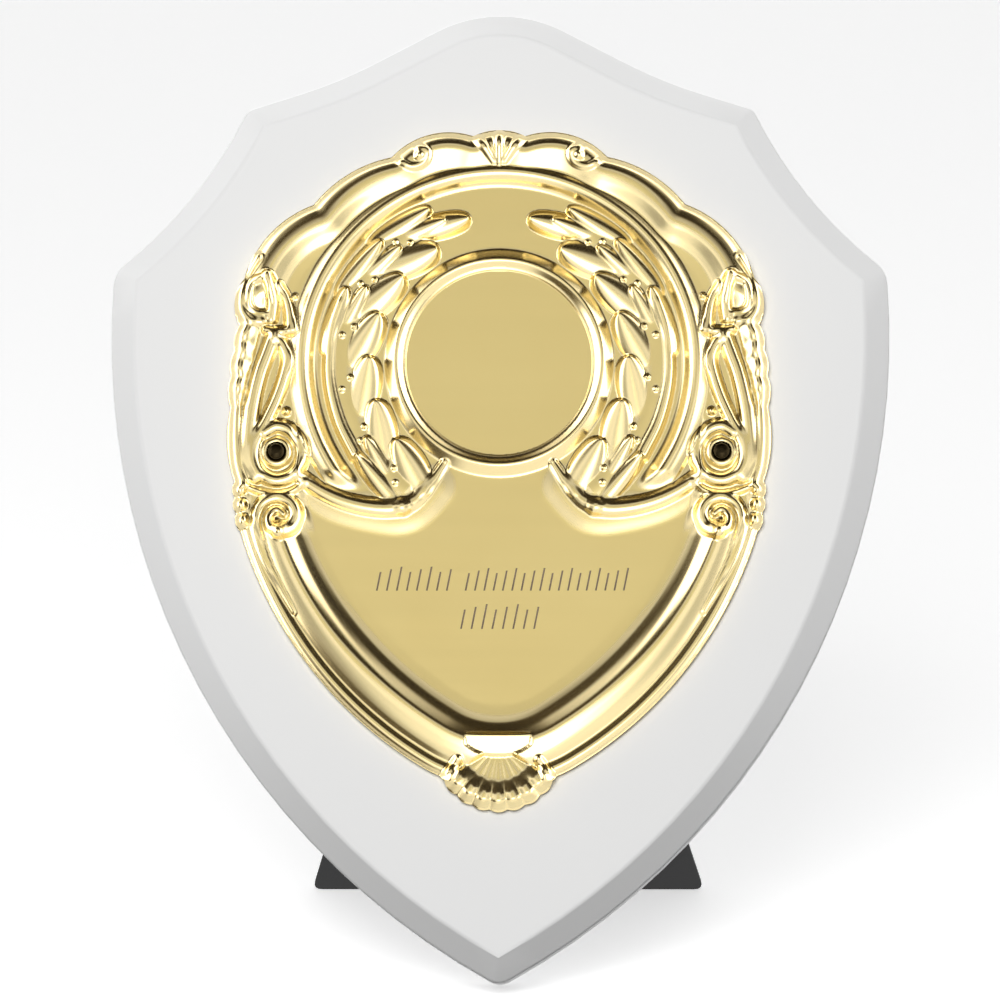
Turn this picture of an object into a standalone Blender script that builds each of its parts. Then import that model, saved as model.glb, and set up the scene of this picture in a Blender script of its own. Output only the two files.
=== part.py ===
"""Award shield plaque: a bevelled shield board with a pressed metal front, on an easel strut.

The board and its front are drawn in the board's own frame: x across, s up from the tip and
n forward from the back face.  Lengths there are in millimetres, and MM turns them into the
metres of the finished meshes.  The board leans back, and its tip and the strut's foot stand
on z = 0.  The origin is on the ground, under the middle of the whole object.
"""

from math import acos, atan2, cos, hypot, pi, radians, sin, sqrt, tan

import bmesh
import bpy
import numpy as np
from mathutils import Vector
from mathutils.geometry import delaunay_2d_cdt

MM = 0.001
GAP = 0.3

# Shield board
BOARD_HEIGHT = 130.0
BOARD_HALF_WIDTH = 52.15
BOARD_THICK = 10.0
BEVEL = 3.3
LEAN = radians(18.0)
CREST_RADIUS = 18.5
CREST_SLOPE = radians(27.5)
CREST_RUN = 9.5
NECK_RADIUS = 62.0
NECK_SLOPE = radians(17.5)
SHOULDER_X = 34.0
SHOULDER_ROUND = 0.8
HORN_S = 95.3
HORN_ROUND = 1.8
SCOOP_RADIUS = 60.0
SIDE_RADIUS = 98.5
TIP_RADIUS = 2.6

# Pressed front: levels above its back, and cross-sections inwards from the rim as
# (distance, height) corners that are then rounded off
SHEET_EDGE = 0.4
FLOOR = 0.7
SHOULDER = 1.2
RIM_SOFT = 0.35
OUTER_BEAD = ((0.0, SHEET_EDGE), (0.3, 0.95), (0.8, 1.45), (1.3, 1.5), (2.1, 1.05))
LOW_RIM = OUTER_BEAD + ((2.7, 1.6), (3.6, 2.1), (4.7, 2.5), (5.6, 2.7), (6.1, 2.6), (6.8, 2.1),
                        (7.6, 1.5), (8.5, 1.05), (9.4, 0.82), (10.8, FLOOR))
MIDDLE_RIM = OUTER_BEAD + ((2.6, 1.6), (3.3, 2.05), (4.0, 2.4), (4.8, 2.6), (5.3, 2.5), (6.0, 1.95),
                           (6.8, 1.35), (7.6, 1.0), (8.4, 0.8), (9.6, FLOOR))
SIDE_RIM = ((0.0, SHEET_EDGE), (0.3, 0.85), (0.9, 1.4), (1.5, 1.5), (2.3, SHOULDER), (8.6, SHOULDER),
            (9.6, FLOOR))
HIGH_RIM = ((0.0, SHEET_EDGE), (0.3, 0.9), (1.0, 1.65), (1.9, 2.15), (2.8, 2.35), (3.6, 2.2),
            (4.6, 1.65), (5.6, 1.3), (7.0, SHOULDER))
TOP_RIM = ((0.0, SHEET_EDGE), (0.3, 1.0), (0.9, 1.8), (1.6, 2.3), (2.3, 2.4), (3.4, 2.1), (5.2, 1.6))
LOW_S = 34.0
MIDDLE_S = 57.0
SIDE_LOW_S = 59.0
SIDE_HIGH_S = 88.0
TOP_S = 102.0
RIM_CHANGE = 4.0

# Pressed front: ring, arch and wreath, measured from the ring's centre
RING_S = 82.4
RING_SOFT = 0.2
RECESS_SOFT = 0.1
RECESS = ((12.4, FLOOR), (12.6, 1.2), (12.7, 3.0))
RING = ((12.3, 1.05), (12.75, 1.1), (13.55, 1.8), (13.85, 1.85), (15.3, FLOOR))
ARCH = ((24.3, FLOOR), (24.8, 0.95), (25.3, 1.55), (25.8, 2.0), (26.3, 2.15), (26.8, 2.0), (27.3, 1.6),
        (28.0, SHOULDER))
ARCH_CREST = 26.3
ARCH_OUTSIDE = 28.2
ARCH_SQUASH = 0.973
ARCH_FOOT_S = 65.0
ARCH_FOOT_CHANGE = 3.0
LEAF_NODES = 6
LEAF_FIRST = radians(29.5)
LEAF_PITCH = radians(19.8)

# Leaves of the wreath: radius at the tip and at the base, turn of the tip from the node and
# of the base from the tip, half width, height
INNER_LEAF = (17.2, 20.3, radians(-1.5), radians(25.0), 2.3, 1.85)
MIDDLE_LEAF = (20.4, 21.6, radians(-9.0), radians(20.0), 1.4, 1.65)
OUTER_LEAF = (22.6, 23.4, radians(-5.5), radians(24.0), 1.5, 1.6)
END_LEAF = (19.7, 21.3, radians(-18.0), radians(24.0), 1.75, 1.75)
LEAF_LOW_END = 0.35
LEAF_ROUND = 0.65
LEAF_TAPER = 0.35
SIDE_LEAF_NODES = (0, 1, 2, 5)
STEM_RADIUS = 21.0
STEM_HALF_WIDTH = 2.5
STEM_HEIGHT = 0.8
STEM_START = radians(28.0)
STEM_END = radians(150.0)
BERRY_PLACES = ((19.9, radians(7.0)), (21.2, radians(11.0)))
BERRY_RADIUS = 0.4
BERRY_HEIGHT = 1.35

# Pressed front: shell at the foot
FAN_S = 31.35
FAN_RADIUS = 8.6
FAN_EDGE = radians(56.0)
FAN_CHANGE = radians(3.0)
FLUTES = 7
FLUTE_BULGE = 0.3
FLUTE_DEPTH = 0.3
FAN = ((1.5, 1.3), (4.6, 1.35), (6.3, 2.0), (7.3, 2.0), (8.6, 0.4))
HINGE_S = 36.6
HINGE_RADIUS = 6.8
LEDGE = ((-1.0, 2.6), (0.0, 2.6), (2.6, 1.7), (3.4, 1.0))
LEDGE_S = 32.7
LEDGE_HALF_WIDTH = 4.4
SHELL_SOFT = 0.25

# Outline of the pressed front from the top down: each point has the bulge of the arc that
# leads on to the next.  Behind the shell the rim rounds off to RIM_FOOT_S on the axis
RIM_POINTS = (
    (0.0, 113.7, 0.25),
    (3.4, 112.9, 1.7),
    (14.4, 110.1, 1.1),
    (24.8, 103.7, 1.7),
    (34.0, 93.6, 1.0),
    (34.6, 87.4, 0.35),
    (35.3, 84.0, 0.35),
    (35.7, 80.6, 0.4),
    (35.8, 76.4, 0.75),
    (35.2, 66.5, 0.3),
    (35.2, 64.4, 0.3),
    (35.0, 62.3, 0.35),
    (34.4, 59.8, 3.7),
    (10.2, 28.5, 0.72),
)
RIM_FOOT_S = 25.7

# Raised strokes of the scrollwork: points, half width at the start and end, height, and how
# round its section is, from a bead to a soft mound.  BLEND is how sharply they meet
BEAD = 0.7
MOUND = 1.6
BLEND = 3
STROKES = (
    # Curl at the end of the shoulder lobe and the ring inside it round a long eye
    (((32.4, 96.6), (33.9, 94.2), (34.55, 91.8), (34.5, 89.6), (33.4, 88.3), (31.7, 87.9)),
     0.85, 0.85, 1.0, BEAD),
    (((31.7, 93.7), (33.0, 93.1), (33.5, 91.4), (33.3, 89.8), (32.3, 88.9), (31.2, 88.8)),
     0.6, 0.7, 0.75, BEAD),
    # Two flutes beside it and the tie under them
    (((30.9, 94.0), (30.3, 92.4), (30.1, 90.4), (30.4, 88.2)), 0.85, 0.95, 1.05, BEAD),
    (((29.3, 92.8), (28.4, 91.0), (27.9, 89.0), (27.7, 86.9)), 0.6, 1.0, 1.1, BEAD),
    (((31.2, 86.8), (29.7, 86.6), (28.2, 86.5)), 0.6, 0.8, 1.1, BEAD),
    # Lumps along the rim
    (((33.4, 87.2), (33.8, 85.0), (34.1, 82.5), (34.5, 79.8), (34.9, 77.6)), 1.8, 1.1, 0.8, BEAD),
    # Two long arms that hang from the tie, the inner one winding round the pin
    (((30.1, 85.8), (30.9, 83.6), (31.9, 80.8), (32.8, 76.8), (33.3, 72.6), (33.3, 69.4), (32.4, 67.2)),
     1.1, 1.25, 1.15, BEAD),
    (((29.7, 85.8), (28.7, 84.6), (28.2, 82.9), (28.5, 80.9), (29.5, 77.8), (30.9, 74.7), (32.2, 72.2),
      (32.5, 69.6), (31.6, 67.5), (29.6, 66.6), (27.4, 67.3), (26.3, 69.1), (26.4, 71.4), (27.8, 73.2),
      (29.6, 73.8), (31.2, 73.0)), 0.9, 1.05, 1.15, BEAD),
    # Dish round the pin
    (((29.6, 71.9), (30.66, 71.46), (31.1, 70.4), (30.66, 69.34), (29.6, 68.9), (28.54, 69.34),
      (28.1, 70.4), (28.54, 71.46), (29.6, 71.9)), 1.0, 1.0, 0.8, MOUND),
    # Long leaf at the rim, and the thin lip under the upper scroll
    (((35.0, 78.0), (34.95, 74.6), (34.9, 71.1), (34.7, 68.4), (34.0, 66.0)), 0.7, 0.9, 0.7, BEAD),
    (((33.9, 65.9), (31.0, 64.9), (27.9, 65.0), (25.4, 66.6)), 0.5, 0.5, 0.65, BEAD),
    # Lower scroll, which grows out of the band round the field
    (((27.2, 48.9), (29.0, 52.1), (30.7, 55.4), (31.8, 58.4), (32.3, 61.4), (31.4, 63.5), (29.6, 64.3),
      (27.8, 63.7), (27.0, 62.1), (27.6, 60.4), (29.1, 59.8)), 0.3, 1.25, 1.35, BEAD),
    (((29.1, 59.8), (30.4, 60.4), (30.6, 61.8), (29.6, 62.7), (28.6, 62.1)), 0.85, 0.6, 1.15, BEAD),
    # Smooth roll along the outside of the wreath's lower half
    (((21.2, 90.4), (22.3, 86.3), (22.6, 80.4), (21.3, 74.7), (19.0, 70.0)), 0.8, 1.05, 1.2, BEAD),
    # Rounded lip and radial end of the channel that holds the wreath, with the fall to the field
    (((27.0, 67.6), (24.8, 65.9), (21.8, 64.3), (18.6, 63.3), (15.4, 62.9), (12.8, 63.1)),
     1.1, 1.4, 1.22, BEAD),
    (((12.8, 63.1), (11.0, 64.1), (9.1, 66.1), (7.3, 68.8)), 1.4, 0.7, 1.15, BEAD),
    (((27.0, 67.2), (21.8, 63.7), (15.4, 62.2), (12.4, 62.3), (10.4, 63.7), (8.6, 65.9)),
     2.6, 3.2, 0.36, MOUND),
    # Small curls where the top lobes meet
    (((13.2, 109.3), (11.6, 108.6), (10.0, 109.2), (9.6, 110.6), (10.8, 111.3)), 0.5, 0.6, 0.43, BEAD),
    # Crown at the top: a middle flute and one on each side
    (((0.0, 109.2), (0.0, 113.0)), 0.5, 0.8, 0.65, BEAD),
    (((0.7, 109.2), (1.8, 111.0), (2.9, 112.4)), 0.4, 0.8, 0.58, BEAD),
    # Outermost flute of the shell
    (((5.4, 29.3), (6.3, 27.8), (6.8, 26.9)), 0.7, 1.0, 1.08, BEAD),
)

# Round bosses: place, radius, height
BOSSES = (
    (34.0, 86.3, 1.7, 0.9), (34.3, 84.0, 1.8, 0.9), (34.6, 81.6, 1.8, 0.9), (34.8, 79.3, 1.6, 0.8),
    (34.6, 65.3, 1.1, 0.9), (34.5, 63.3, 1.1, 0.9), (34.2, 61.2, 1.1, 0.9), (10.6, 110.1, 0.8, 0.7),
    (27.2, 91.3, 0.4, 0.6), (28.3, 75.8, 0.6, 0.8),
)

# Pins in the scroll eyes
PIN_X = 29.6
PIN_S = 70.4
PIN_SOCKET = 1.7
PIN_HOLE = 0.8
PIN_SHANK = 0.5
PIN_HEAD = 1.05
PIN_DOME = 0.65
PIN_LENGTH = 6.0
PIN_SIDES = 20

# Mesh of the pressed front
OUTLINE_STEP = 1.2
AXIS_STEP = 0.1
AXIS_FLATNESS = 0.05
SEED_STEP = 2.4
FLATNESS = (0.3, 0.2, 0.14, 0.11, 0.09, 0.08)
POINT_LIMIT = 1500
EDGE_CLEARANCE = 0.3
HOLE_SIDES = 12
SMOOTH_ANGLE = radians(40.0)

# Easel strut: a tab on the board's back and a leg that spreads down to the foot
STRUT_THICK = 1.0
TAB_TOP_S = 94.0
TAB_LENGTH = 19.0
TAB_WIDTH = 14.0
BEND_RADIUS = 1.5
BEND_STEPS = 4
LEG_OPENING = radians(37.5)
FOOT_WIDTH = 55.0
FOOT_ROUND = 1.4

# Screws of the strut
SCREW_S = (TAB_TOP_S - 4.5, TAB_TOP_S - 13.5)
SCREW_SHANK = 1.3
SCREW_HEAD = 2.6
SCREW_RISE = 1.4
SCREW_LENGTH = 6.5
SCREW_SIDES = 24
SLOT_WIDTH = 0.7
SLOT_REACH = 1.5
SLOT_DEPTH = 0.8


def arc(centre, radius, start, end, steps):
    """Points on a circle from one angle to another."""
    angles = [start + (end - start) * i / steps for i in range(steps + 1)]
    return [(centre[0] + radius * cos(a), centre[1] + radius * sin(a)) for a in angles]


def bulged(start, end, bulge, spacing):
    """Points from start on the arc to end that swells to the left by bulge, without the end."""
    chord = hypot(end[0] - start[0], end[1] - start[1])
    radius = (chord * chord / 4 + bulge * bulge) / (2 * bulge)
    way = atan2(end[1] - start[1], end[0] - start[0])
    half = acos(1 - bulge / radius)
    steps = max(2, round(2 * half * radius / spacing))
    centre = ((start[0] + end[0]) / 2 + (radius - bulge) * sin(way),
              (start[1] + end[1]) / 2 - (radius - bulge) * cos(way))
    return arc(centre, radius, way + pi / 2 + half, way + pi / 2 - half, steps)[:-1]


def bend(start, corner, end, steps):
    """Points on the curve that rounds a corner off."""
    shares = [i / steps for i in range(steps + 1)]
    return [tuple((1 - t) ** 2 * a + 2 * t * (1 - t) * c + t * t * b for a, c, b in zip(start, corner, end))
            for t in shares]


def curve(points, steps=6):
    """A smooth path through a few points."""
    p = np.array(points, dtype=float)
    p = np.vstack([2 * p[0] - p[1], p, 2 * p[-1] - p[-2]])
    path = [p[1]]
    for i in range(1, len(p) - 2):
        for t in np.arange(1, steps + 1) / steps:
            path.append(0.5 * (2 * p[i] + (p[i + 1] - p[i - 1]) * t
                               + (2 * p[i - 1] - 5 * p[i] + 4 * p[i + 1] - p[i + 2]) * t ** 2
                               + (3 * p[i] - p[i - 1] - 3 * p[i + 1] + p[i + 2]) * t ** 3))
    return np.array(path)


def circles_meet(centre_a, radius_a, centre_b, radius_b):
    """The lower of the two points where two circles cross."""
    dx = centre_b[0] - centre_a[0]
    ds = centre_b[1] - centre_a[1]
    apart = hypot(dx, ds)
    along = (apart ** 2 + radius_a ** 2 - radius_b ** 2) / (2 * apart)
    off = sqrt(radius_a ** 2 - along ** 2)
    middle = (centre_a[0] + along * dx / apart, centre_a[1] + along * ds / apart)
    meets = [(middle[0] - k * off * ds / apart, middle[1] + k * off * dx / apart) for k in (1, -1)]
    return min(meets, key=lambda p: p[1])


def turn(centre, point):
    """Angle of a point as seen from a centre."""
    return atan2(point[1] - centre[1], point[0] - centre[0])


def board_half(inset):
    """Right half of the shield's outline from crest to tip, moved inwards by inset."""
    crest_centre = (0.0, BOARD_HEIGHT - CREST_RADIUS)
    crest_end = (CREST_RADIUS * sin(CREST_SLOPE), crest_centre[1] + CREST_RADIUS * cos(CREST_SLOPE))
    neck_centre = (crest_end[0] + CREST_RUN * cos(CREST_SLOPE) + NECK_RADIUS * sin(CREST_SLOPE),
                   crest_end[1] - CREST_RUN * sin(CREST_SLOPE) + NECK_RADIUS * cos(CREST_SLOPE))
    neck_end = (neck_centre[0] - NECK_RADIUS * sin(NECK_SLOPE),
                neck_centre[1] - NECK_RADIUS * cos(NECK_SLOPE))
    shoulder = (SHOULDER_X, neck_end[1] - (SHOULDER_X - neck_end[0]) * tan(NECK_SLOPE))
    side_centre = (BOARD_HALF_WIDTH - SIDE_RADIUS,
                   TIP_RADIUS + sqrt((SIDE_RADIUS - TIP_RADIUS) ** 2 - (SIDE_RADIUS - BOARD_HALF_WIDTH) ** 2))
    horn = (side_centre[0] + sqrt(SIDE_RADIUS ** 2 - (HORN_S - side_centre[1]) ** 2), HORN_S)
    chord = hypot(horn[0] - shoulder[0], horn[1] - shoulder[1])
    off = sqrt(SCOOP_RADIUS ** 2 - chord ** 2 / 4) / chord
    scoop_centre = ((shoulder[0] + horn[0]) / 2 + off * (shoulder[1] - horn[1]),
                    (shoulder[1] + horn[1]) / 2 + off * (horn[0] - shoulder[0]))

    crest = arc(crest_centre, CREST_RADIUS - inset, pi / 2, pi / 2 - CREST_SLOPE, 6)
    neck = arc(neck_centre, NECK_RADIUS + inset, -pi / 2 - CREST_SLOPE, -pi / 2 - NECK_SLOPE, 4)
    way = (cos(NECK_SLOPE), -sin(NECK_SLOPE))
    scoop_radius = SCOOP_RADIUS + inset
    to_centre = (scoop_centre[0] - neck[-1][0], scoop_centre[1] - neck[-1][1])
    nearest = to_centre[0] * way[0] + to_centre[1] * way[1]
    run = nearest - sqrt(nearest ** 2 - to_centre[0] ** 2 - to_centre[1] ** 2 + scoop_radius ** 2)
    shoulder = (neck[-1][0] + run * way[0], neck[-1][1] + run * way[1])
    side_radius = SIDE_RADIUS - inset
    horn = circles_meet(side_centre, side_radius, scoop_centre, scoop_radius)

    reach = max(0.0, SHOULDER_ROUND - inset)
    horn_reach = max(0.0, HORN_ROUND - inset)
    scoop = arc(scoop_centre, scoop_radius, turn(scoop_centre, shoulder) % (2 * pi) + reach / scoop_radius,
                turn(scoop_centre, horn) % (2 * pi) - horn_reach / scoop_radius, 8)
    tip_radius = max(0.0, TIP_RADIUS - inset)
    if tip_radius > 0:
        side_end = turn(side_centre, (0.0, TIP_RADIUS))
    else:
        side_end = -acos(-side_centre[0] / side_radius)
    side = arc(side_centre, side_radius, turn(side_centre, horn) - horn_reach / side_radius, side_end, 22)
    tip_centre = (0.0, side[-1][1]) if tip_radius == 0 else (0.0, TIP_RADIUS)
    tip = arc(tip_centre, tip_radius, side_end, -pi / 2, 4)
    before = (shoulder[0] - reach * way[0], shoulder[1] - reach * way[1])
    return (crest + neck + bend(before, shoulder, scoop[0], 4) + scoop[1:-1]
            + bend(scoop[-1], horn, side[0], 4) + side[1:] + tip[1:])


def whole(half):
    """Closed outline from its right half, which starts and ends on the axis."""
    return half + [(-x, s) for x, s in reversed(half[1:-1])]


def front_rim(spacing):
    """Right half of the pressed front's rim as it runs behind the shell."""
    ends = RIM_POINTS[1:] + ((0.0, RIM_FOOT_S),)
    rim = []
    for start, end in zip(RIM_POINTS, ends):
        rim += bulged(start[:2], end[:2], start[2], spacing)
    return rim + [(0.0, RIM_FOOT_S)]


def flute_wave(angle):
    """1 along the middle of each flute of the shell and 0 between two of them."""
    return abs(np.cos(angle * pi * FLUTES / (2 * FAN_EDGE)))


def front_half(spacing):
    """Right half of the pressed front's outline, with the scalloped shell."""
    rim = [p for p in front_rim(spacing) if p[1] > FAN_S or atan2(p[0], FAN_S - p[1]) > FAN_EDGE + 0.1]
    steps = 4 * FLUTES
    shell = []
    for i in range(steps + 1):
        angle = FAN_EDGE * (1 - i / steps)
        radius = FAN_RADIUS + FLUTE_BULGE * flute_wave(angle)
        shell.append((radius * sin(angle), FAN_S - radius * cos(angle)))
    return rim + shell


def ease(t):
    """A smooth step from 0 to 1."""
    t = np.clip(t, 0.0, 1.0)
    return t * t * (3 - 2 * t)


def section(corners, soft):
    """A cross-section: straight runs between (place, height) corners, rounded off over soft."""
    places, heights = zip(*corners)
    step = 0.01
    reach = round(soft / step)
    fine = np.arange(places[0] - 1.0, places[-1] + 1.0, step)
    window = np.hanning(2 * reach + 1)
    rounded = np.convolve(np.interp(fine, places, heights), window / window.sum(), mode="valid")
    kept = fine[reach:len(fine) - reach]
    return lambda v: np.interp(v, kept, rounded)


def to_path(points, path):
    """Distance of each point from a path, and how far along the path that is, from 0 to 1."""
    start = path[:-1]
    step = path[1:] - start
    long = (step ** 2).sum(axis=1)
    marks = np.concatenate([[0.0], np.cumsum(np.sqrt(long))])
    distance = np.empty(len(points))
    share = np.empty(len(points))
    for first in range(0, len(points), 4000):
        some = points[first:first + 4000, None, :] - start
        t = np.clip((some * step).sum(axis=2) / long, 0.0, 1.0)
        gap = np.sqrt(((some - t[:, :, None] * step) ** 2).sum(axis=2))
        near = gap.argmin(axis=1)
        rows = np.arange(len(near))
        distance[first:first + 4000] = gap[rows, near]
        share[first:first + 4000] = (marks[near] + t[rows, near] * np.sqrt(long[near])) / marks[-1]
    return distance, share


def stroke(points, path, start_width, end_width, height, roundness):
    """Rise of a stroke over the ground, lower where it is narrower."""
    path = curve(path)
    reach = max(start_width, end_width)
    near = ((points > path.min(axis=0) - reach) & (points < path.max(axis=0) + reach)).all(axis=1)
    rise = np.zeros(len(points))
    distance, share = to_path(points[near], path)
    width = start_width + (end_width - start_width) * share
    rise[near] = height * width / reach * np.clip(1 - (distance / width) ** 2, 0.0, None) ** roundness
    return rise


def leaf(points, tip, base, half_width, height):
    """Rise of a leaf, which lifts towards its pointed tip."""
    way = np.subtract(tip, base)
    long = hypot(*way)
    way = way / long
    off = points - np.array(base)
    along = off @ way / long
    taper = np.clip(4 * along * (1 - along), 1e-9, None) ** LEAF_TAPER
    across = (off @ np.array((-way[1], way[0]))) / (half_width * taper)
    swell = np.where((along > 0) & (along < 1), np.clip(1 - across ** 2, 0.0, None) ** LEAF_ROUND, 0.0)
    return height * (LEAF_LOW_END + (1 - LEAF_LOW_END) * along) * swell


def polar(radius, angle):
    """Place at a radius and an angle from straight up, seen from the ring's centre."""
    return (radius * sin(angle), RING_S + radius * cos(angle))


def wreath(points):
    """Rise of one side's spray of leaves and berries."""
    x, s = points.T
    off_stem = (np.hypot(x, s - RING_S) - STEM_RADIUS) / STEM_HALF_WIDTH
    angle = np.arctan2(x, s - RING_S)
    along = ease((angle - STEM_START) / radians(6.0)) * ease((STEM_END - angle) / radians(6.0))
    rise = STEM_HEIGHT * along * np.clip(1 - off_stem ** 2, 0.0, None) ** 0.6
    sprays = [(END_LEAF, LEAF_FIRST)]
    for node in range(LEAF_NODES):
        angle = LEAF_FIRST + node * LEAF_PITCH
        sprays.append((INNER_LEAF, angle))
        if node in SIDE_LEAF_NODES:
            sprays += [(OUTER_LEAF, angle), (MIDDLE_LEAF, angle)]
        for radius, lead in BERRY_PLACES:
            gap = np.hypot(*(points - np.array(polar(radius, angle + lead))).T) / BERRY_RADIUS
            rise = np.maximum(rise, BERRY_HEIGHT * np.sqrt(np.clip(1 - gap ** 2, 0.0, None)))
    for (tip_radius, base_radius, lead, turn_back, half_width, height), angle in sprays:
        tip = polar(tip_radius, angle + lead)
        base = polar(base_radius, angle + lead + turn_back)
        rise = np.maximum(rise, leaf(points, tip, base, half_width, height))
    return rise


def shell(x, s, ground):
    """Height of the fluted shell and its ledge, laid over the ground around it."""
    radius = np.hypot(x, s - FAN_S)
    angle = np.arctan2(x, FAN_S - s)
    wave = flute_wave(angle)
    depth = FLUTE_DEPTH * (0.35 + 0.65 * ease((radius - 5.0) / 1.5)) * (wave - 0.6)
    fan = section(FAN, SHELL_SOFT)(radius * FAN_RADIUS / (FAN_RADIUS + FLUTE_BULGE * wave))
    fan = np.maximum(fan + depth * ease((FAN_RADIUS - radius) / 1.0), 0.4)
    hinge = HINGE_RADIUS - np.hypot(x, s - HINGE_S)
    ledge = section(LEDGE, SHELL_SOFT)(LEDGE_S - s)
    over = np.where(hinge > 0, ledge, fan)
    on_fan = ease((FAN_EDGE + FAN_CHANGE - angle) / FAN_CHANGE)
    on_ledge = ease((LEDGE_HALF_WIDTH - x) / 0.3 + 0.5) * ease((LEDGE_S + 0.2 - s) / 0.2)
    share = np.where(hinge > 0, on_ledge, on_fan)
    return ground + (over - ground) * share


def relief(points):
    """Height of the pressed front over its back, for points with x >= 0."""
    points = np.asarray(points, dtype=float)
    x, s = points.T
    edge = to_path(points, np.array(front_rim(0.5)))[0]
    low = section(LOW_RIM, RIM_SOFT)(edge)
    middle = section(MIDDLE_RIM, RIM_SOFT)(edge)
    low = low + (middle - low) * ease((s - LOW_S) / (MIDDLE_S - LOW_S))
    side = section(SIDE_RIM, RIM_SOFT)(edge)
    high = section(HIGH_RIM, RIM_SOFT)(edge)
    top = section(TOP_RIM, RIM_SOFT)(edge)
    ground = low + (side - low) * ease((s - SIDE_LOW_S) / RIM_CHANGE)
    ground = ground + (high - ground) * ease((s - SIDE_HIGH_S) / RIM_CHANGE)
    ground = ground + (top - ground) * ease((s - TOP_S) / (2 * RIM_CHANGE))

    lift = np.where(s > RING_S, ARCH_SQUASH, 1.0)
    arch_radius = np.hypot(x, (s - RING_S) / lift)
    arch = section(ARCH, RING_SOFT)(arch_radius)
    above_foot = ease((s - ARCH_FOOT_S) / ARCH_FOOT_CHANGE)
    over = np.maximum(arch, ground * ease((arch_radius - ARCH_CREST + 0.3) / 0.3))
    over = np.where(arch_radius < ARCH_OUTSIDE, over, ground)
    within = np.where(arch_radius < ARCH_CREST, FLOOR, ground)
    ground = within + (over - within) * above_foot
    ring_radius = np.hypot(x, s - RING_S)
    ground = np.where(ring_radius < RING[-1][0] + RING_SOFT, section(RING, RING_SOFT)(ring_radius), ground)

    ground = shell(x, s, ground)
    rise = wreath(points)
    for path, start_width, end_width, height, roundness in STROKES:
        over = stroke(points, path, start_width, end_width, height, roundness)
        rise = (rise ** BLEND + over ** BLEND) ** (1 / BLEND)
    for bx, bs, radius, height in BOSSES:
        gap = np.hypot(x - bx, s - bs) / radius
        over = height * np.clip(1 - gap ** 2, 0.0, None)
        rise = (rise ** BLEND + over ** BLEND) ** (1 / BLEND)
    socket = ease((np.hypot(x - PIN_X, s - PIN_S) - 0.9) / 0.6)
    level = ground + rise
    level = PIN_SOCKET + (level - PIN_SOCKET) * socket
    recess = section(RECESS, RECESS_SOFT)(ring_radius)
    return np.where(ring_radius < RECESS[-1][0], np.minimum(level, recess), level)


def circle(centre, radius, sides):
    """Points round a circle, counter-clockwise as seen from the front."""
    return arc(centre, radius, 0.0, 2 * pi, sides)[:-1]


def axis_points(top, foot):
    """Points up the axis between the two ends, close together only where the relief changes."""
    places = np.linspace(foot, top, round((top - foot) / AXIS_STEP) + 1)
    heights = relief(np.column_stack([np.zeros(len(places)), places]))
    kept = [0, len(places) - 1]
    while True:
        errors = abs(heights - np.interp(places, places[kept], heights[kept]))
        if errors.max() < AXIS_FLATNESS:
            return [(0.0, float(places[i])) for i in kept[1:-1]]
        kept = sorted(kept + [int(errors.argmax())])


def inside(points, loops):
    """Which points lie inside closed loops, counting a loop within another as a hole."""
    x, s = points.T
    hit = np.zeros(len(points), dtype=bool)
    for loop in loops:
        start = np.array(loop)
        end = np.roll(start, -1, axis=0)
        for (ax, a), (bx, b) in zip(start, end):
            if a != b:
                hit ^= ((a > s) != (b > s)) & (x < ax + (bx - ax) * (s - a) / (b - a))
    return hit


def triangles(loops, points):
    """Triangles over the area inside the loops that use the loops' points and further ones."""
    corners = [p for loop in loops for p in loop] + [tuple(p) for p in points]
    edges = []
    first = 0
    for loop in loops:
        edges += [(first + i, first + (i + 1) % len(loop)) for i in range(len(loop))]
        first += len(loop)
    faces = np.array(delaunay_2d_cdt([Vector(c) for c in corners], edges, [], 0, 1e-7, False)[2])
    corners = np.array(corners)
    middles = corners[faces].mean(axis=1)
    return corners, faces[inside(middles, loops)]


def refine(loops):
    """Points inside the loops, added where flat triangles depart most from the relief."""
    low = np.min(loops[0], axis=0)
    high = np.max(loops[0], axis=0)
    grid = np.mgrid[low[0]:high[0]:SEED_STEP, low[1]:high[1]:SEED_STEP].reshape(2, -1).T
    edge = np.vstack([np.array(loop) for loop in loops])

    def clear(points):
        kept = points[inside(points, loops)]
        return kept[to_path(kept, edge)[0] > EDGE_CLEARANCE]

    points = clear(grid)
    for flatness in FLATNESS:
        corners, faces = triangles(loops, points)
        heights = relief(np.abs(corners))
        spots = [corners[faces].mean(axis=1)]
        levels = [heights[faces].mean(axis=1)]
        for a, b in ((0, 1), (1, 2), (2, 0)):
            spots.append((corners[faces[:, a]] + corners[faces[:, b]]) / 2)
            levels.append((heights[faces[:, a]] + heights[faces[:, b]]) / 2)
        spots = np.array(spots)
        errors = np.abs(relief(spots.reshape(-1, 2)).reshape(4, -1) - np.array(levels))
        worst = errors.argmax(axis=0)
        rows = np.arange(len(worst))
        order = np.argsort(-errors[worst, rows], kind="stable")
        room = POINT_LIMIT - len(points)
        chosen = [i for i in order if errors[worst[i], i] > flatness][:room]
        fresh = clear(spots[worst[chosen], chosen])
        points = np.unique(np.vstack([points, fresh]).round(4), axis=0)
    return points


def place(x, s, n):
    """A point of the board's frame in metres."""
    return Vector((x, -n, s)) * MM


def material(name, colour, roughness, metallic):
    """A plain material."""
    made = bpy.data.materials.new(name)
    made.use_nodes = True
    shader = made.node_tree.nodes["Principled BSDF"]
    shader.inputs["Base Color"].default_value = (*colour, 1.0)
    shader.inputs["Roughness"].default_value = roughness
    shader.inputs["Metallic"].default_value = metallic
    made.diffuse_color = (*colour, 1.0)
    return made


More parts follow.
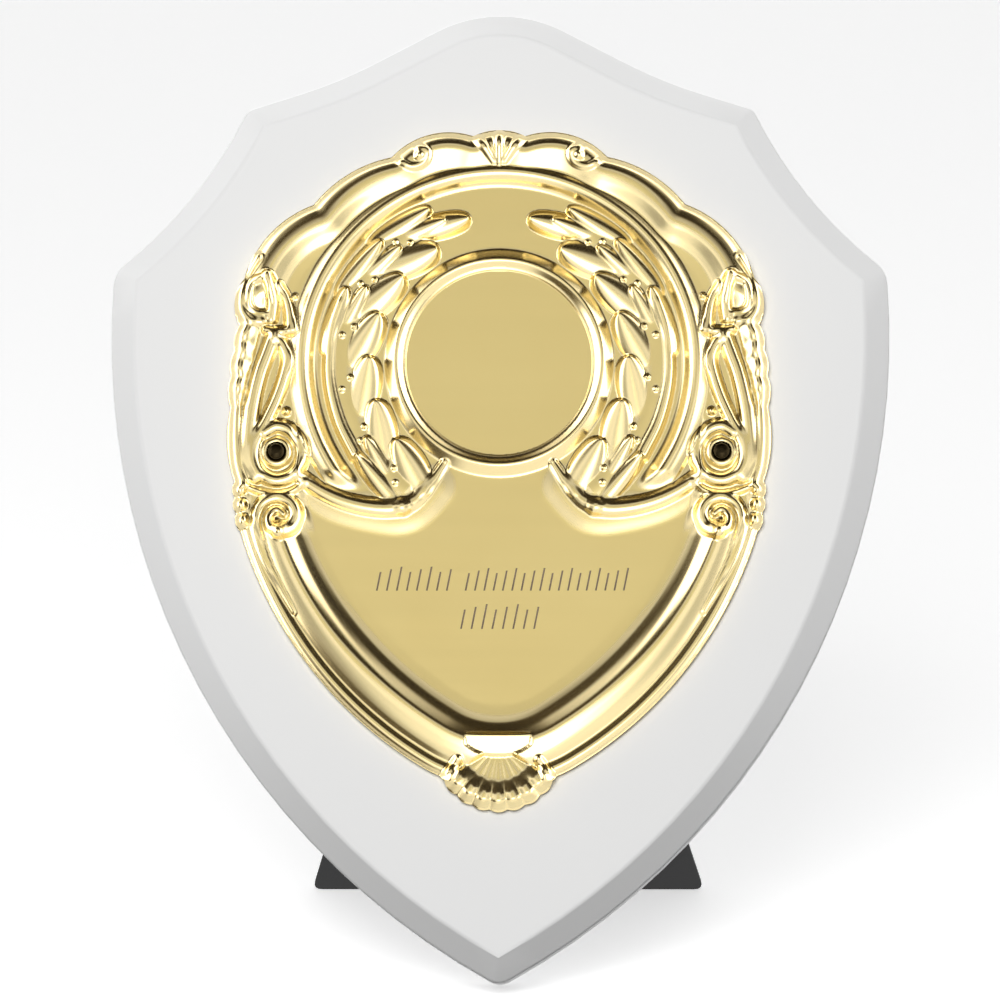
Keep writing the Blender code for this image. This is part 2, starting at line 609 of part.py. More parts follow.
def add(name, bm, look, closed=True):
    """The object of a finished bmesh, shaded smooth with its sharp edges kept."""
    if closed:
        bmesh.ops.recalc_face_normals(bm, faces=bm.faces)
    mesh = bpy.data.meshes.new(name)
    bm.to_mesh(mesh)
    bm.free()
    mesh.materials.append(look)
    mesh.shade_smooth()
    mesh.set_sharp_from_angle(angle=SMOOTH_ANGLE)
    made = bpy.data.objects.new(name, mesh)
    bpy.context.collection.objects.link(made)
    made.parent = root
    return made


def join_rings(bm, rings):
    """Side faces between rings of vertices that follow one another."""
    for lower, upper in zip(rings, rings[1:]):
        for i in range(len(lower)):
            j = (i + 1) % len(lower)
            bm.faces.new((lower[i], lower[j], upper[j], upper[i]))


def prism(bm, outline, levels):
    """A closed prism over an outline between two levels n."""
    rings = [[bm.verts.new(place(x, s, n)) for x, s in outline] for n in levels]
    join_rings(bm, rings)
    bm.faces.new(rings[0])
    bm.faces.new(rings[1])


def lathe(bm, profile, sides):
    """A round piece about the n axis from (radius, n) points between its two ends on the axis."""
    turns = [2 * pi * k / sides for k in range(sides)]
    rings = [[bm.verts.new(place(r * cos(a), r * sin(a), n)) for a in turns]
             for r, n in profile[1:-1]]
    join_rings(bm, rings)
    for (r, n), ring in ((profile[0], rings[0]), (profile[-1], rings[-1])):
        tip = bm.verts.new(place(r, 0.0, n))
        for i in range(sides):
            bm.faces.new((tip, ring[i], ring[(i + 1) % sides]))


def cut(target, name, prisms):
    """Takes prisms, given as (outline, levels), out of an object."""
    bm = bmesh.new()
    for outline, levels in prisms:
        prism(bm, outline, levels)
    cutter = add(name, bm, target.data.materials[0])
    cutter.location = target.location
    cutter.hide_render = True
    cutter.display_type = "WIRE"
    modifier = target.modifiers.new(name, "BOOLEAN")
    modifier.operation = "DIFFERENCE"
    modifier.solver = "EXACT"
    modifier.object = cutter


def shield_board():
    """Board with a bevelled front edge, holes for the pins and for the strut's screws."""
    bm = bmesh.new()
    outline = whole(board_half(0.0))
    inner = whole(board_half(BEVEL))
    rings = [[bm.verts.new(place(x, s, n)) for x, s in loop]
             for loop, n in ((outline, 0.0), (outline, BOARD_THICK - BEVEL), (inner, BOARD_THICK))]
    join_rings(bm, rings)
    bm.faces.new(rings[0])
    bm.faces.new(rings[2])
    bmesh.ops.remove_doubles(bm, verts=bm.verts, dist=0.001 * MM)
    board = add("shield_board", bm, lacquer)
    pin_depth = BOARD_THICK + GAP + PIN_SOCKET + GAP - PIN_LENGTH - GAP
    screw_depth = SCREW_LENGTH + GAP - (GAP + STRUT_THICK + GAP)
    holes = [(circle((x, PIN_S), PIN_HOLE, HOLE_SIDES), (pin_depth, BOARD_THICK + 1.0))
             for x in (-PIN_X, PIN_X)]
    holes += [(circle((0.0, s), SCREW_SHANK + GAP, HOLE_SIDES), (-1.0, screw_depth)) for s in SCREW_S]
    cut(board, "board_holes", holes)


def pressed_front():
    """Pressed front as a solid with a flat back, one half of it mirrored about the axis."""
    outline = front_half(OUTLINE_STEP)
    loop = outline[::-1] + axis_points(outline[0][1], outline[-1][1])[::-1]
    hole = circle((PIN_X, PIN_S), PIN_HOLE, HOLE_SIDES)[::-1]
    corners, faces = triangles((loop, hole), refine((loop, hole)))
    heights = relief(np.abs(corners))
    bm = bmesh.new()
    base = BOARD_THICK + GAP
    top = [bm.verts.new(place(x, s, base + h)) for (x, s), h in zip(corners, heights)]
    foot = [bm.verts.new(place(x, s, base)) for x, s in loop + hole]
    for a, b, c in faces:
        bm.faces.new((top[a], top[b], top[c]))
    for a, b, c in triangles((loop, hole), [])[1]:
        bm.faces.new((foot[c], foot[b], foot[a]))
    for first, ring in ((0, loop), (len(loop), hole)):
        for i in range(len(ring)):
            j = (i + 1) % len(ring)
            if ring[i][0] > 0 or ring[j][0] > 0:
                i, j = first + i, first + j
                bm.faces.new((foot[i], foot[j], top[j], top[i]))
    front = add("pressed_front", bm, gold, closed=False)
    mirror = front.modifiers.new("Mirror", "MIRROR")
    mirror.use_clip = True
    mirror.merge_threshold = 0.00001


def pin(name, x):
    """Domed pin with a thin shank."""
    under = BOARD_THICK + GAP + PIN_SOCKET + GAP
    dome = [(PIN_HEAD * cos(a), under + 0.12 + (PIN_DOME - 0.12) * sin(a))
            for a in [pi / 2 * k / 5 for k in range(6)]]
    profile = [(0.0, under - PIN_LENGTH), (PIN_SHANK, under - PIN_LENGTH), (PIN_SHANK, under),
               (PIN_HEAD, under)] + dome[:-1] + [(0.0, under + PIN_DOME)]
    bm = bmesh.new()
    lathe(bm, profile, PIN_SIDES)
    made = add(name, bm, bronze)
    made.location = (x * MM, 0.0, PIN_S * MM)


def screw(name, s):
    """Pan head screw with a cross slot."""
    under = -(GAP + STRUT_THICK + GAP)
    head = [(SCREW_HEAD * cos(a) ** 0.6, under - 0.4 - (SCREW_RISE - 0.4) * sin(a))
            for a in [pi / 2 * k / 5 for k in range(5)]]
    profile = [(0.0, under + SCREW_LENGTH), (SCREW_SHANK, under + SCREW_LENGTH), (SCREW_SHANK, under),
               (SCREW_HEAD, under)] + head + [(0.0, under - SCREW_RISE)]
    bm = bmesh.new()
    lathe(bm, profile, SCREW_SIDES)
    made = add(name, bm, steel)
    made.location = (0.0, 0.0, s * MM)
    w = SLOT_WIDTH / 2
    r = SLOT_REACH
    cross = [(r, -w), (r, w), (w, w), (w, r), (-w, r), (-w, w), (-r, w), (-r, -w), (-w, -w), (-w, -r), (w, -r),
             (w, -w)]
    cut(made, name + "_slot", [(cross, (under - SCREW_RISE - 1.0, under - SCREW_RISE + SLOT_DEPTH))])


def strut():
    """Sheet metal strut: a flat tab, a bend and a leg that spreads down to a foot on the ground."""
    bend_s = TAB_TOP_S - TAB_LENGTH
    half_tab = TAB_WIDTH / 2
    half_foot = FOOT_WIDTH / 2
    slope = LEG_OPENING - LEAN
    inner = BEND_RADIUS
    outer = BEND_RADIUS + STRUT_THICK
    centre = (-GAP - outer, bend_s)
    # Stations as (half width, near face (n, s), far face (n, s)); the near face lies on the board
    stations = []
    for half, s in bend((half_tab - FOOT_ROUND, TAB_TOP_S), (half_tab, TAB_TOP_S),
                        (half_tab, TAB_TOP_S - FOOT_ROUND), 4):
        stations.append((half, (-GAP, s), (-GAP - STRUT_THICK, s)))
    for k in range(BEND_STEPS + 1):
        a = -LEG_OPENING * k / BEND_STEPS
        near = (centre[0] + outer * cos(a), centre[1] + outer * sin(a))
        far = (centre[0] + inner * cos(a), centre[1] + inner * sin(a))
        stations.append((half_tab, near, far))
    way = (-sin(LEG_OPENING), -cos(LEG_OPENING))
    near, far = stations[-1][1:]

    def drop(point):
        """Height of a point over the ground."""
        return point[1] * cos(LEAN) + point[0] * sin(LEAN)

    long = drop(near) / cos(slope)
    trim = drop(far) / cos(slope) - long
    spread = (half_foot - half_tab) / long
    corner = (half_foot, long)
    before = (half_foot - FOOT_ROUND * spread, long - FOOT_ROUND)
    for half, along in bend(before, corner, (half_foot - FOOT_ROUND, long), 4):
        stations.append((half, (near[0] + way[0] * along, near[1] + way[1] * along),
                         (far[0] + way[0] * (along + trim), far[1] + way[1] * (along + trim))))
    bm = bmesh.new()
    rings = []
    for half, near_face, far_face in stations:
        corners = ((-half, near_face), (half, near_face), (half, far_face), (-half, far_face))
        rings.append([bm.verts.new(place(x, s, n)) for x, (n, s) in corners])
    join_rings(bm, rings)
    bm.faces.new(rings[0])
    bm.faces.new(rings[-1])
    made = add("strut", bm, black)
    cut(made, "strut_holes",
        [(circle((0.0, s), SCREW_SHANK + GAP, HOLE_SIDES), (-3.0, 1.0)) for s in SCREW_S])
    foot = stations[-1][2]
    return foot[1] * sin(LEAN) - foot[0] * cos(LEAN)


for old in list(bpy.data.objects):
    bpy.data.objects.remove(old, do_unlink=True)

lacquer = material("white_lacquer", (0.86, 0.86, 0.84), 0.35, 0.0)
gold = material("gold_front", (0.83, 0.64, 0.28), 0.2, 1.0)
bronze = material("dark_bronze", (0.09, 0.07, 0.04), 0.35, 1.0)
black = material("black_coated_steel", (0.02, 0.02, 0.02), 0.5, 0.0)
steel = material("zinc_plated_steel", (0.55, 0.55, 0.56), 0.3, 1.0)

root = bpy.data.objects.new("leaning_frame", None)
bpy.context.collection.objects.link(root)

shield_board()
pressed_front()
pin("pin_left", -PIN_X)
pin("pin_right", PIN_X)
back_y = strut()
screw("strut_screw_upper", SCREW_S[0])
screw("strut_screw_lower", SCREW_S[1])

front_y = min(s * sin(LEAN) for x, s in board_half(BEVEL)) - BOARD_THICK * cos(LEAN)
root.rotation_euler = (-LEAN, 0.0, 0.0)
root.location = (0.0, -(front_y + back_y) / 2 * MM, 0.0)
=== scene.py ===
"""Award shield plaque, dressed for a picture: a white lacquered board with a bevelled edge, a
pressed gold front and its dark pins, on a black easel strut.

The board and its front are drawn in the board's own frame: x across, s up from the tip and
n forward from the back face, in millimetres.  LEANING sets that frame in the scene.
"""

from math import acos, atan2, cos, hypot, pi, radians, sin, sqrt, tan

import bmesh
import bpy
import numpy as np
from mathutils import Matrix, Vector
from mathutils.geometry import delaunay_2d_cdt


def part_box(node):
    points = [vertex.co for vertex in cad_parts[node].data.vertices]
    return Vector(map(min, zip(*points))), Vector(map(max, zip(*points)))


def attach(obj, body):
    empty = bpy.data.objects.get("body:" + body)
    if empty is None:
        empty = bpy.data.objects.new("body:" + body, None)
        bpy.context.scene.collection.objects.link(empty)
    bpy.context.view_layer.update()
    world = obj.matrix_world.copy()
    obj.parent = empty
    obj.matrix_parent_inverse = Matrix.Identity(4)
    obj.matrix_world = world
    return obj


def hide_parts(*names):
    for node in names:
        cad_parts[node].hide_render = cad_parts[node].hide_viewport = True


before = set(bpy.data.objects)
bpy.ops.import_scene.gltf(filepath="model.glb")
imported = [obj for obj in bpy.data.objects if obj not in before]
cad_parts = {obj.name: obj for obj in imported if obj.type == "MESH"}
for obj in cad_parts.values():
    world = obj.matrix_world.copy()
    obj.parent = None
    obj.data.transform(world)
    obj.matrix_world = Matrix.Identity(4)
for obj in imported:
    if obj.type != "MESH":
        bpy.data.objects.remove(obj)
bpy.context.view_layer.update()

MM = 0.001
GAP = 0.3

# Shield board
BOARD_HEIGHT = 130.0
BOARD_HALF_WIDTH = 52.15
BOARD_THICK = 10.0
BEVEL = 3.3
LEAN = radians(18.0)
CREST_RADIUS = 18.5
CREST_SLOPE = radians(27.5)
CREST_RUN = 9.5
NECK_RADIUS = 62.0
NECK_SLOPE = radians(17.5)
SHOULDER_X = 34.0
SHOULDER_ROUND = 0.8
HORN_S = 95.3
HORN_ROUND = 1.8
SCOOP_RADIUS = 60.0
SIDE_RADIUS = 98.5
TIP_RADIUS = 2.6

# Pressed front: levels above its back, and cross-sections inwards from the rim as
# (distance, height) corners that are then rounded off
SHEET_EDGE = 0.4
FLOOR = 0.7
SHOULDER = 1.2
RIM_SOFT = 0.35
OUTER_BEAD = ((0.0, SHEET_EDGE), (0.3, 0.95), (0.8, 1.45), (1.3, 1.5), (2.1, 1.05))
LOW_RIM = OUTER_BEAD + ((2.7, 1.6), (3.6, 2.1), (4.7, 2.5), (5.6, 2.7), (6.1, 2.6), (6.8, 2.1),
                        (7.6, 1.5), (8.5, 1.05), (9.4, 0.82), (10.8, FLOOR))
MIDDLE_RIM = OUTER_BEAD + ((2.6, 1.6), (3.3, 2.05), (4.0, 2.4), (4.8, 2.6), (5.3, 2.5), (6.0, 1.95),
                           (6.8, 1.35), (7.6, 1.0), (8.4, 0.8), (9.6, FLOOR))
SIDE_RIM = ((0.0, SHEET_EDGE), (0.3, 0.85), (0.9, 1.4), (1.5, 1.5), (2.3, SHOULDER),
            (8.6, SHOULDER), (9.6, FLOOR))
HIGH_RIM = ((0.0, SHEET_EDGE), (0.3, 0.9), (1.0, 1.65), (1.9, 2.15), (2.8, 2.35), (3.6, 2.2),
            (4.6, 1.65), (5.6, 1.3), (7.0, SHOULDER))
TOP_RIM = ((0.0, SHEET_EDGE), (0.3, 1.0), (0.9, 1.8), (1.6, 2.3), (2.3, 2.4), (3.4, 2.1),
           (5.2, 1.6))
LOW_S = 34.0
MIDDLE_S = 57.0
SIDE_LOW_S = 59.0
SIDE_HIGH_S = 88.0
TOP_S = 102.0
RIM_CHANGE = 4.0

# Pressed front: ring, arch and wreath, measured from the ring's centre
RING_S = 82.4
RING_SOFT = 0.2
RECESS_SOFT = 0.1
RECESS = ((12.4, FLOOR), (12.6, 1.2), (12.7, 3.0))
RING = ((12.3, 1.05), (12.75, 1.1), (13.55, 1.8), (13.85, 1.85), (15.3, FLOOR))
ARCH = ((24.3, FLOOR), (24.8, 0.95), (25.3, 1.55), (25.8, 2.0), (26.3, 2.15), (26.8, 2.0),
        (27.3, 1.6), (28.0, SHOULDER))
ARCH_CREST = 26.3
ARCH_OUTSIDE = 28.2
ARCH_MEETS_RIM = 0.3
ARCH_SQUASH = 0.973
ARCH_FOOT_S = 65.0
ARCH_FOOT_CHANGE = 3.0
LEAF_NODES = 6
LEAF_FIRST = radians(29.5)
LEAF_PITCH = radians(19.8)

# Leaves of the wreath: radius at the tip and at the base, turn of the tip from the node and
# of the base from the tip, half width, height.  A leaf rises from LEAF_LOW_END of its height at
# the base, narrows to both ends by LEAF_TAPER and is rounded across by LEAF_ROUND
INNER_LEAF = (17.2, 20.3, radians(-1.5), radians(25.0), 2.3, 1.85)
MIDDLE_LEAF = (20.4, 21.6, radians(-9.0), radians(20.0), 1.4, 1.65)
OUTER_LEAF = (22.6, 23.4, radians(-5.5), radians(24.0), 1.5, 1.6)
END_LEAF = (19.7, 21.3, radians(-18.0), radians(24.0), 1.75, 1.75)
LEAF_LOW_END = 0.35
LEAF_ROUND = 0.65
LEAF_TAPER = 0.35
SIDE_LEAF_NODES = (0, 1, 2, 5)
STEM_RADIUS = 21.0
STEM_HALF_WIDTH = 2.5
STEM_HEIGHT = 0.8
STEM_ROUND = 0.6
STEM_START = radians(28.0)
STEM_END = radians(150.0)
STEM_FADE = radians(6.0)
BERRY_PLACES = ((19.9, radians(7.0)), (21.2, radians(11.0)))
BERRY_RADIUS = 0.4
BERRY_HEIGHT = 1.35

# Pressed front: shell at the foot
FAN_S = 31.35
FAN_RADIUS = 8.6
FAN_EDGE = radians(56.0)
FAN_CHANGE = radians(3.0)
FLUTES = 7
FLUTE_BULGE = 0.3
FLUTE_DEPTH = 0.3
FLUTE_LEVEL = 0.6
FLUTE_SHALLOW = 0.35
FLUTE_RADIUS = 5.0
FLUTE_CHANGE = 1.5
FAN = ((1.5, 1.3), (4.6, 1.35), (6.3, 2.0), (7.3, 2.0), (8.6, 0.4))
HINGE_S = 36.6
HINGE_RADIUS = 6.8
LEDGE = ((-1.0, 2.6), (0.0, 2.6), (2.6, 1.7), (3.4, 1.0))
LEDGE_S = 32.7
LEDGE_HALF_WIDTH = 4.4
LEDGE_SIDE = 0.3
LEDGE_TOP = 0.2
SHELL_SOFT = 0.25

# Outline of the pressed front from the top down: each point has the bulge of the arc that
# leads on to the next.  Behind the shell the rim rounds off to RIM_FOOT_S on the axis
RIM_POINTS = (
    (0.0, 113.7, 0.25),
    (3.4, 112.9, 1.7),
    (14.4, 110.1, 1.1),
    (24.8, 103.7, 1.7),
    (34.0, 93.6, 1.0),
    (34.6, 87.4, 0.35),
    (35.3, 84.0, 0.35),
    (35.7, 80.6, 0.4),
    (35.8, 76.4, 0.75),
    (35.2, 66.5, 0.3),
    (35.2, 64.4, 0.3),
    (35.0, 62.3, 0.35),
    (34.4, 59.8, 3.7),
    (10.2, 28.5, 0.72),
)
RIM_FOOT_S = 25.7

# Raised strokes of the scrollwork: points, half width at the start and end, height, and how
# round its section is, from a bead to a soft mound.  BLEND is how sharply they meet
BEAD = 0.7
MOUND = 1.6
BLEND = 3
STROKES = (
    # Curl at the end of the shoulder lobe and the ring inside it round a long eye
    (((32.4, 96.6), (33.9, 94.2), (34.55, 91.8), (34.5, 89.6), (33.4, 88.3), (31.7, 87.9)),
     0.85, 0.85, 1.0, BEAD),
    (((31.7, 93.7), (33.0, 93.1), (33.5, 91.4), (33.3, 89.8), (32.3, 88.9), (31.2, 88.8)),
     0.6, 0.7, 0.75, BEAD),
    # Two flutes beside it and the tie under them
    (((30.9, 94.0), (30.3, 92.4), (30.1, 90.4), (30.4, 88.2)), 0.85, 0.95, 1.05, BEAD),
    (((29.3, 92.8), (28.4, 91.0), (27.9, 89.0), (27.7, 86.9)), 0.6, 1.0, 1.1, BEAD),
    (((31.2, 86.8), (29.7, 86.6), (28.2, 86.5)), 0.6, 0.8, 1.1, BEAD),
    # Lumps along the rim
    (((33.4, 87.2), (33.8, 85.0), (34.1, 82.5), (34.5, 79.8), (34.9, 77.6)), 1.8, 1.1, 0.8, BEAD),
    # Two long arms that hang from the tie, the inner one winding round the pin
    (((30.1, 85.8), (30.9, 83.6), (31.9, 80.8), (32.8, 76.8), (33.3, 72.6), (33.3, 69.4),
      (32.4, 67.2)), 1.1, 1.25, 1.15, BEAD),
    (((29.7, 85.8), (28.7, 84.6), (28.2, 82.9), (28.5, 80.9), (29.5, 77.8), (30.9, 74.7),
      (32.2, 72.2), (32.5, 69.6), (31.6, 67.5), (29.6, 66.6), (27.4, 67.3), (26.3, 69.1),
      (26.4, 71.4), (27.8, 73.2), (29.6, 73.8), (31.2, 73.0)), 0.9, 1.05, 1.15, BEAD),
    # Dish round the pin
    (((29.6, 71.9), (30.66, 71.46), (31.1, 70.4), (30.66, 69.34), (29.6, 68.9), (28.54, 69.34),
      (28.1, 70.4), (28.54, 71.46), (29.6, 71.9)), 1.0, 1.0, 0.8, MOUND),
    # Long leaf at the rim, and the thin lip under the upper scroll
    (((35.0, 78.0), (34.95, 74.6), (34.9, 71.1), (34.7, 68.4), (34.0, 66.0)), 0.7, 0.9, 0.7, BEAD),
    (((33.9, 65.9), (31.0, 64.9), (27.9, 65.0), (25.4, 66.6)), 0.5, 0.5, 0.65, BEAD),
    # Lower scroll, which grows out of the band round the field
    (((27.2, 48.9), (29.0, 52.1), (30.7, 55.4), (31.8, 58.4), (32.3, 61.4), (31.4, 63.5),
      (29.6, 64.3), (27.8, 63.7), (27.0, 62.1), (27.6, 60.4), (29.1, 59.8)), 0.3, 1.25, 1.35, BEAD),
    (((29.1, 59.8), (30.4, 60.4), (30.6, 61.8), (29.6, 62.7), (28.6, 62.1)), 0.85, 0.6, 1.15, BEAD),
    # Smooth roll along the outside of the wreath's lower half
    (((21.2, 90.4), (22.3, 86.3), (22.6, 80.4), (21.3, 74.7), (19.0, 70.0)), 0.8, 1.05, 1.2, BEAD),
    # Rounded lip and radial end of the channel that holds the wreath, with the fall to the field
    (((27.0, 67.6), (24.8, 65.9), (21.8, 64.3), (18.6, 63.3), (15.4, 62.9), (12.8, 63.1)),
     1.1, 1.4, 1.22, BEAD),
    (((12.8, 63.1), (11.0, 64.1), (9.1, 66.1), (7.3, 68.8)), 1.4, 0.7, 1.15, BEAD),
    (((27.0, 67.2), (21.8, 63.7), (15.4, 62.2), (12.4, 62.3), (10.4, 63.7), (8.6, 65.9)),
     2.6, 3.2, 0.36, MOUND),
    # Small curls where the top lobes meet
    (((13.2, 109.3), (11.6, 108.6), (10.0, 109.2), (9.6, 110.6), (10.8, 111.3)),
     0.5, 0.6, 0.43, BEAD),
    # Crown at the top: a middle flute and one on each side
    (((0.0, 109.2), (0.0, 113.0)), 0.5, 0.8, 0.65, BEAD),
    (((0.7, 109.2), (1.8, 111.0), (2.9, 112.4)), 0.4, 0.8, 0.58, BEAD),
    # Outermost flute of the shell
    (((5.4, 29.3), (6.3, 27.8), (6.8, 26.9)), 0.7, 1.0, 1.08, BEAD),
)

# Round bosses: place, radius, height
BOSSES = (
    (34.0, 86.3, 1.7, 0.9), (34.3, 84.0, 1.8, 0.9), (34.6, 81.6, 1.8, 0.9), (34.8, 79.3, 1.6, 0.8),
    (34.6, 65.3, 1.1, 0.9), (34.5, 63.3, 1.1, 0.9), (34.2, 61.2, 1.1, 0.9), (10.6, 110.1, 0.8, 0.7),
    (27.2, 91.3, 0.4, 0.6), (28.3, 75.8, 0.6, 0.8),
)

# Pin sockets
PIN_X = 29.6
PIN_S = 70.4
PIN_SOCKET = 1.7
PIN_SOCKET_RADIUS = 0.9
PIN_SOCKET_CHANGE = 0.6
PIN_HOLE = 0.8

# Mesh of the pressed front: a triangular lattice that halves its spacing where the sheet bends
# more, each as (spacing, bend in 1/mm from which it is used), with rings along the recess
OUTLINE_STEP = 0.2
LATTICE = ((0.96, 0.0), (0.48, 0.03), (0.24, 0.22))
RECESS_RINGS = (12.32, 12.4, 12.48, 12.56, 12.64, 12.72)
RECESS_STEP = 0.22
GRID_STEP = 0.1
GRID_SOFT = 3
EDGE_CLEARANCE = 0.1
HOLE_SIDES = 48
CREASE = radians(50.0)

# Engraving: rows of plain slanted strokes as (first x, last x, foot, top, count)
ENGRAVED_ROWS = (
    (-16.2, -6.9, 51.9, 55.1, 8),
    (-4.4, 16.6, 51.9, 54.9, 18),
    (-5.0, 4.7, 46.8, 50.1, 8),
)
ENGRAVED_WIDTH = 0.24
ENGRAVED_SLANT = 0.2
ENGRAVED_DEPTH = 0.06
ENGRAVED_WALL = 0.06
ENGRAVED_CLEARANCE = 0.12

# Board mesh
ARRIS = 0.4
ARRIS_SEGMENTS = 3
ARRIS_ANGLE = radians(25.0)

# Soft studio, as patches on a sphere round the plaque, one over the other: azimuth from the
# camera's side and rise, inner and outer radius, all in degrees, and brightness.  LIT falls on
# the surfaces and SEEN is mirrored by them
LIT_AMBIENT = 0.16
LIT = (
    (0, 80, 30, 90, 0.20),
    (0, -90, 50, 100, 0.0),
    (180, -15, 22, 52, 1.5),
)
SEEN_AMBIENT = 1.05
SEEN = (
    (0, -75, 20, 50, 1.0),
    (-100, 5, 34, 48, 3.4),
    (100, 5, 32, 46, 3.4),
    (180, 45, 25, 48, 3.2),
    (0, 84, 22, 38, 0.03),
    (-50, 48, 13, 29, 0.06),
    (50, 44, 14, 30, 0.03),
    (-44, -6, 8, 20, 0.45),
    (46, -4, 8, 20, 0.6),
    (-58, -34, 12, 24, 0.08),
    (0, 28, 14, 28, 0.63),
    (5, -13, 13, 22, 3.2),
)
WARM_SHADE = (1.0, 0.78, 0.5, 1.0)
SHADE_END = 0.5
WHITE = (1.0, 1.0, 1.0, 1.0)
KEY_PLACE = (-0.08, -0.66, 0.45)
KEY_AIM = (0.0, 0.0, 0.06)
KEY_SIZE = 0.38
KEY_RADIANCE = 10.6
FLOOR_REACH = 3.0
FLOOR_GLOW = 0.55

# Camera, measured from the photograph: where it aims, how far off it stands and its tilt
CAMERA_TARGET = (0.0, 65.0, 10.0)
CAMERA_DISTANCE = 900.0
CAMERA_RISE = radians(12.0)
CAMERA_SIDE = radians(1.4)
CAMERA_ROLL = -0.0061
CAMERA_LENS = 243.37
CAMERA_SENSOR = 36.0
CAMERA_SHIFT = (0.00096, -0.00674)
CAMERA_NEAREST = 0.05


def arc(centre, radius, start, end, steps):
    """Points on a circle from one angle to another."""
    angles = [start + (end - start) * i / steps for i in range(steps + 1)]
    return [(centre[0] + radius * cos(a), centre[1] + radius * sin(a)) for a in angles]


def bulged(start, end, bulge, spacing):
    """Points from start on the arc to end that swells to the left by bulge, without the end."""
    chord = hypot(end[0] - start[0], end[1] - start[1])
    radius = (chord * chord / 4 + bulge * bulge) / (2 * bulge)
    way = atan2(end[1] - start[1], end[0] - start[0])
    half = acos(1 - bulge / radius)
    steps = max(2, round(2 * half * radius / spacing))
    centre = ((start[0] + end[0]) / 2 + (radius - bulge) * sin(way),
              (start[1] + end[1]) / 2 - (radius - bulge) * cos(way))
    return arc(centre, radius, way + pi / 2 + half, way + pi / 2 - half, steps)[:-1]


def bend(start, corner, end, steps):
    """Points on the curve that rounds a corner off."""
    shares = [i / steps for i in range(steps + 1)]
    return [tuple((1 - t) ** 2 * a + 2 * t * (1 - t) * c + t * t * b
                  for a, c, b in zip(start, corner, end)) for t in shares]


def curve(points, steps=6):
    """A smooth path through a few points."""
    p = np.array(points, dtype=float)
    p = np.vstack([2 * p[0] - p[1], p, 2 * p[-1] - p[-2]])
    path = [p[1]]
    for i in range(1, len(p) - 2):
        for t in np.arange(1, steps + 1) / steps:
            path.append(0.5 * (2 * p[i] + (p[i + 1] - p[i - 1]) * t
                               + (2 * p[i - 1] - 5 * p[i] + 4 * p[i + 1] - p[i + 2]) * t ** 2
                               + (3 * p[i] - p[i - 1] - 3 * p[i + 1] + p[i + 2]) * t ** 3))
    return np.array(path)


def circles_meet(centre_a, radius_a, centre_b, radius_b):
    """The lower of the two points where two circles cross."""
    dx = centre_b[0] - centre_a[0]
    ds = centre_b[1] - centre_a[1]
    apart = hypot(dx, ds)
    along = (apart ** 2 + radius_a ** 2 - radius_b ** 2) / (2 * apart)
    off = sqrt(radius_a ** 2 - along ** 2)
    middle = (centre_a[0] + along * dx / apart, centre_a[1] + along * ds / apart)
    meets = [(middle[0] - k * off * ds / apart, middle[1] + k * off * dx / apart) for k in (1, -1)]
    return min(meets, key=lambda p: p[1])


def turn(centre, point):
    """Angle of a point as seen from a centre."""
    return atan2(point[1] - centre[1], point[0] - centre[0])


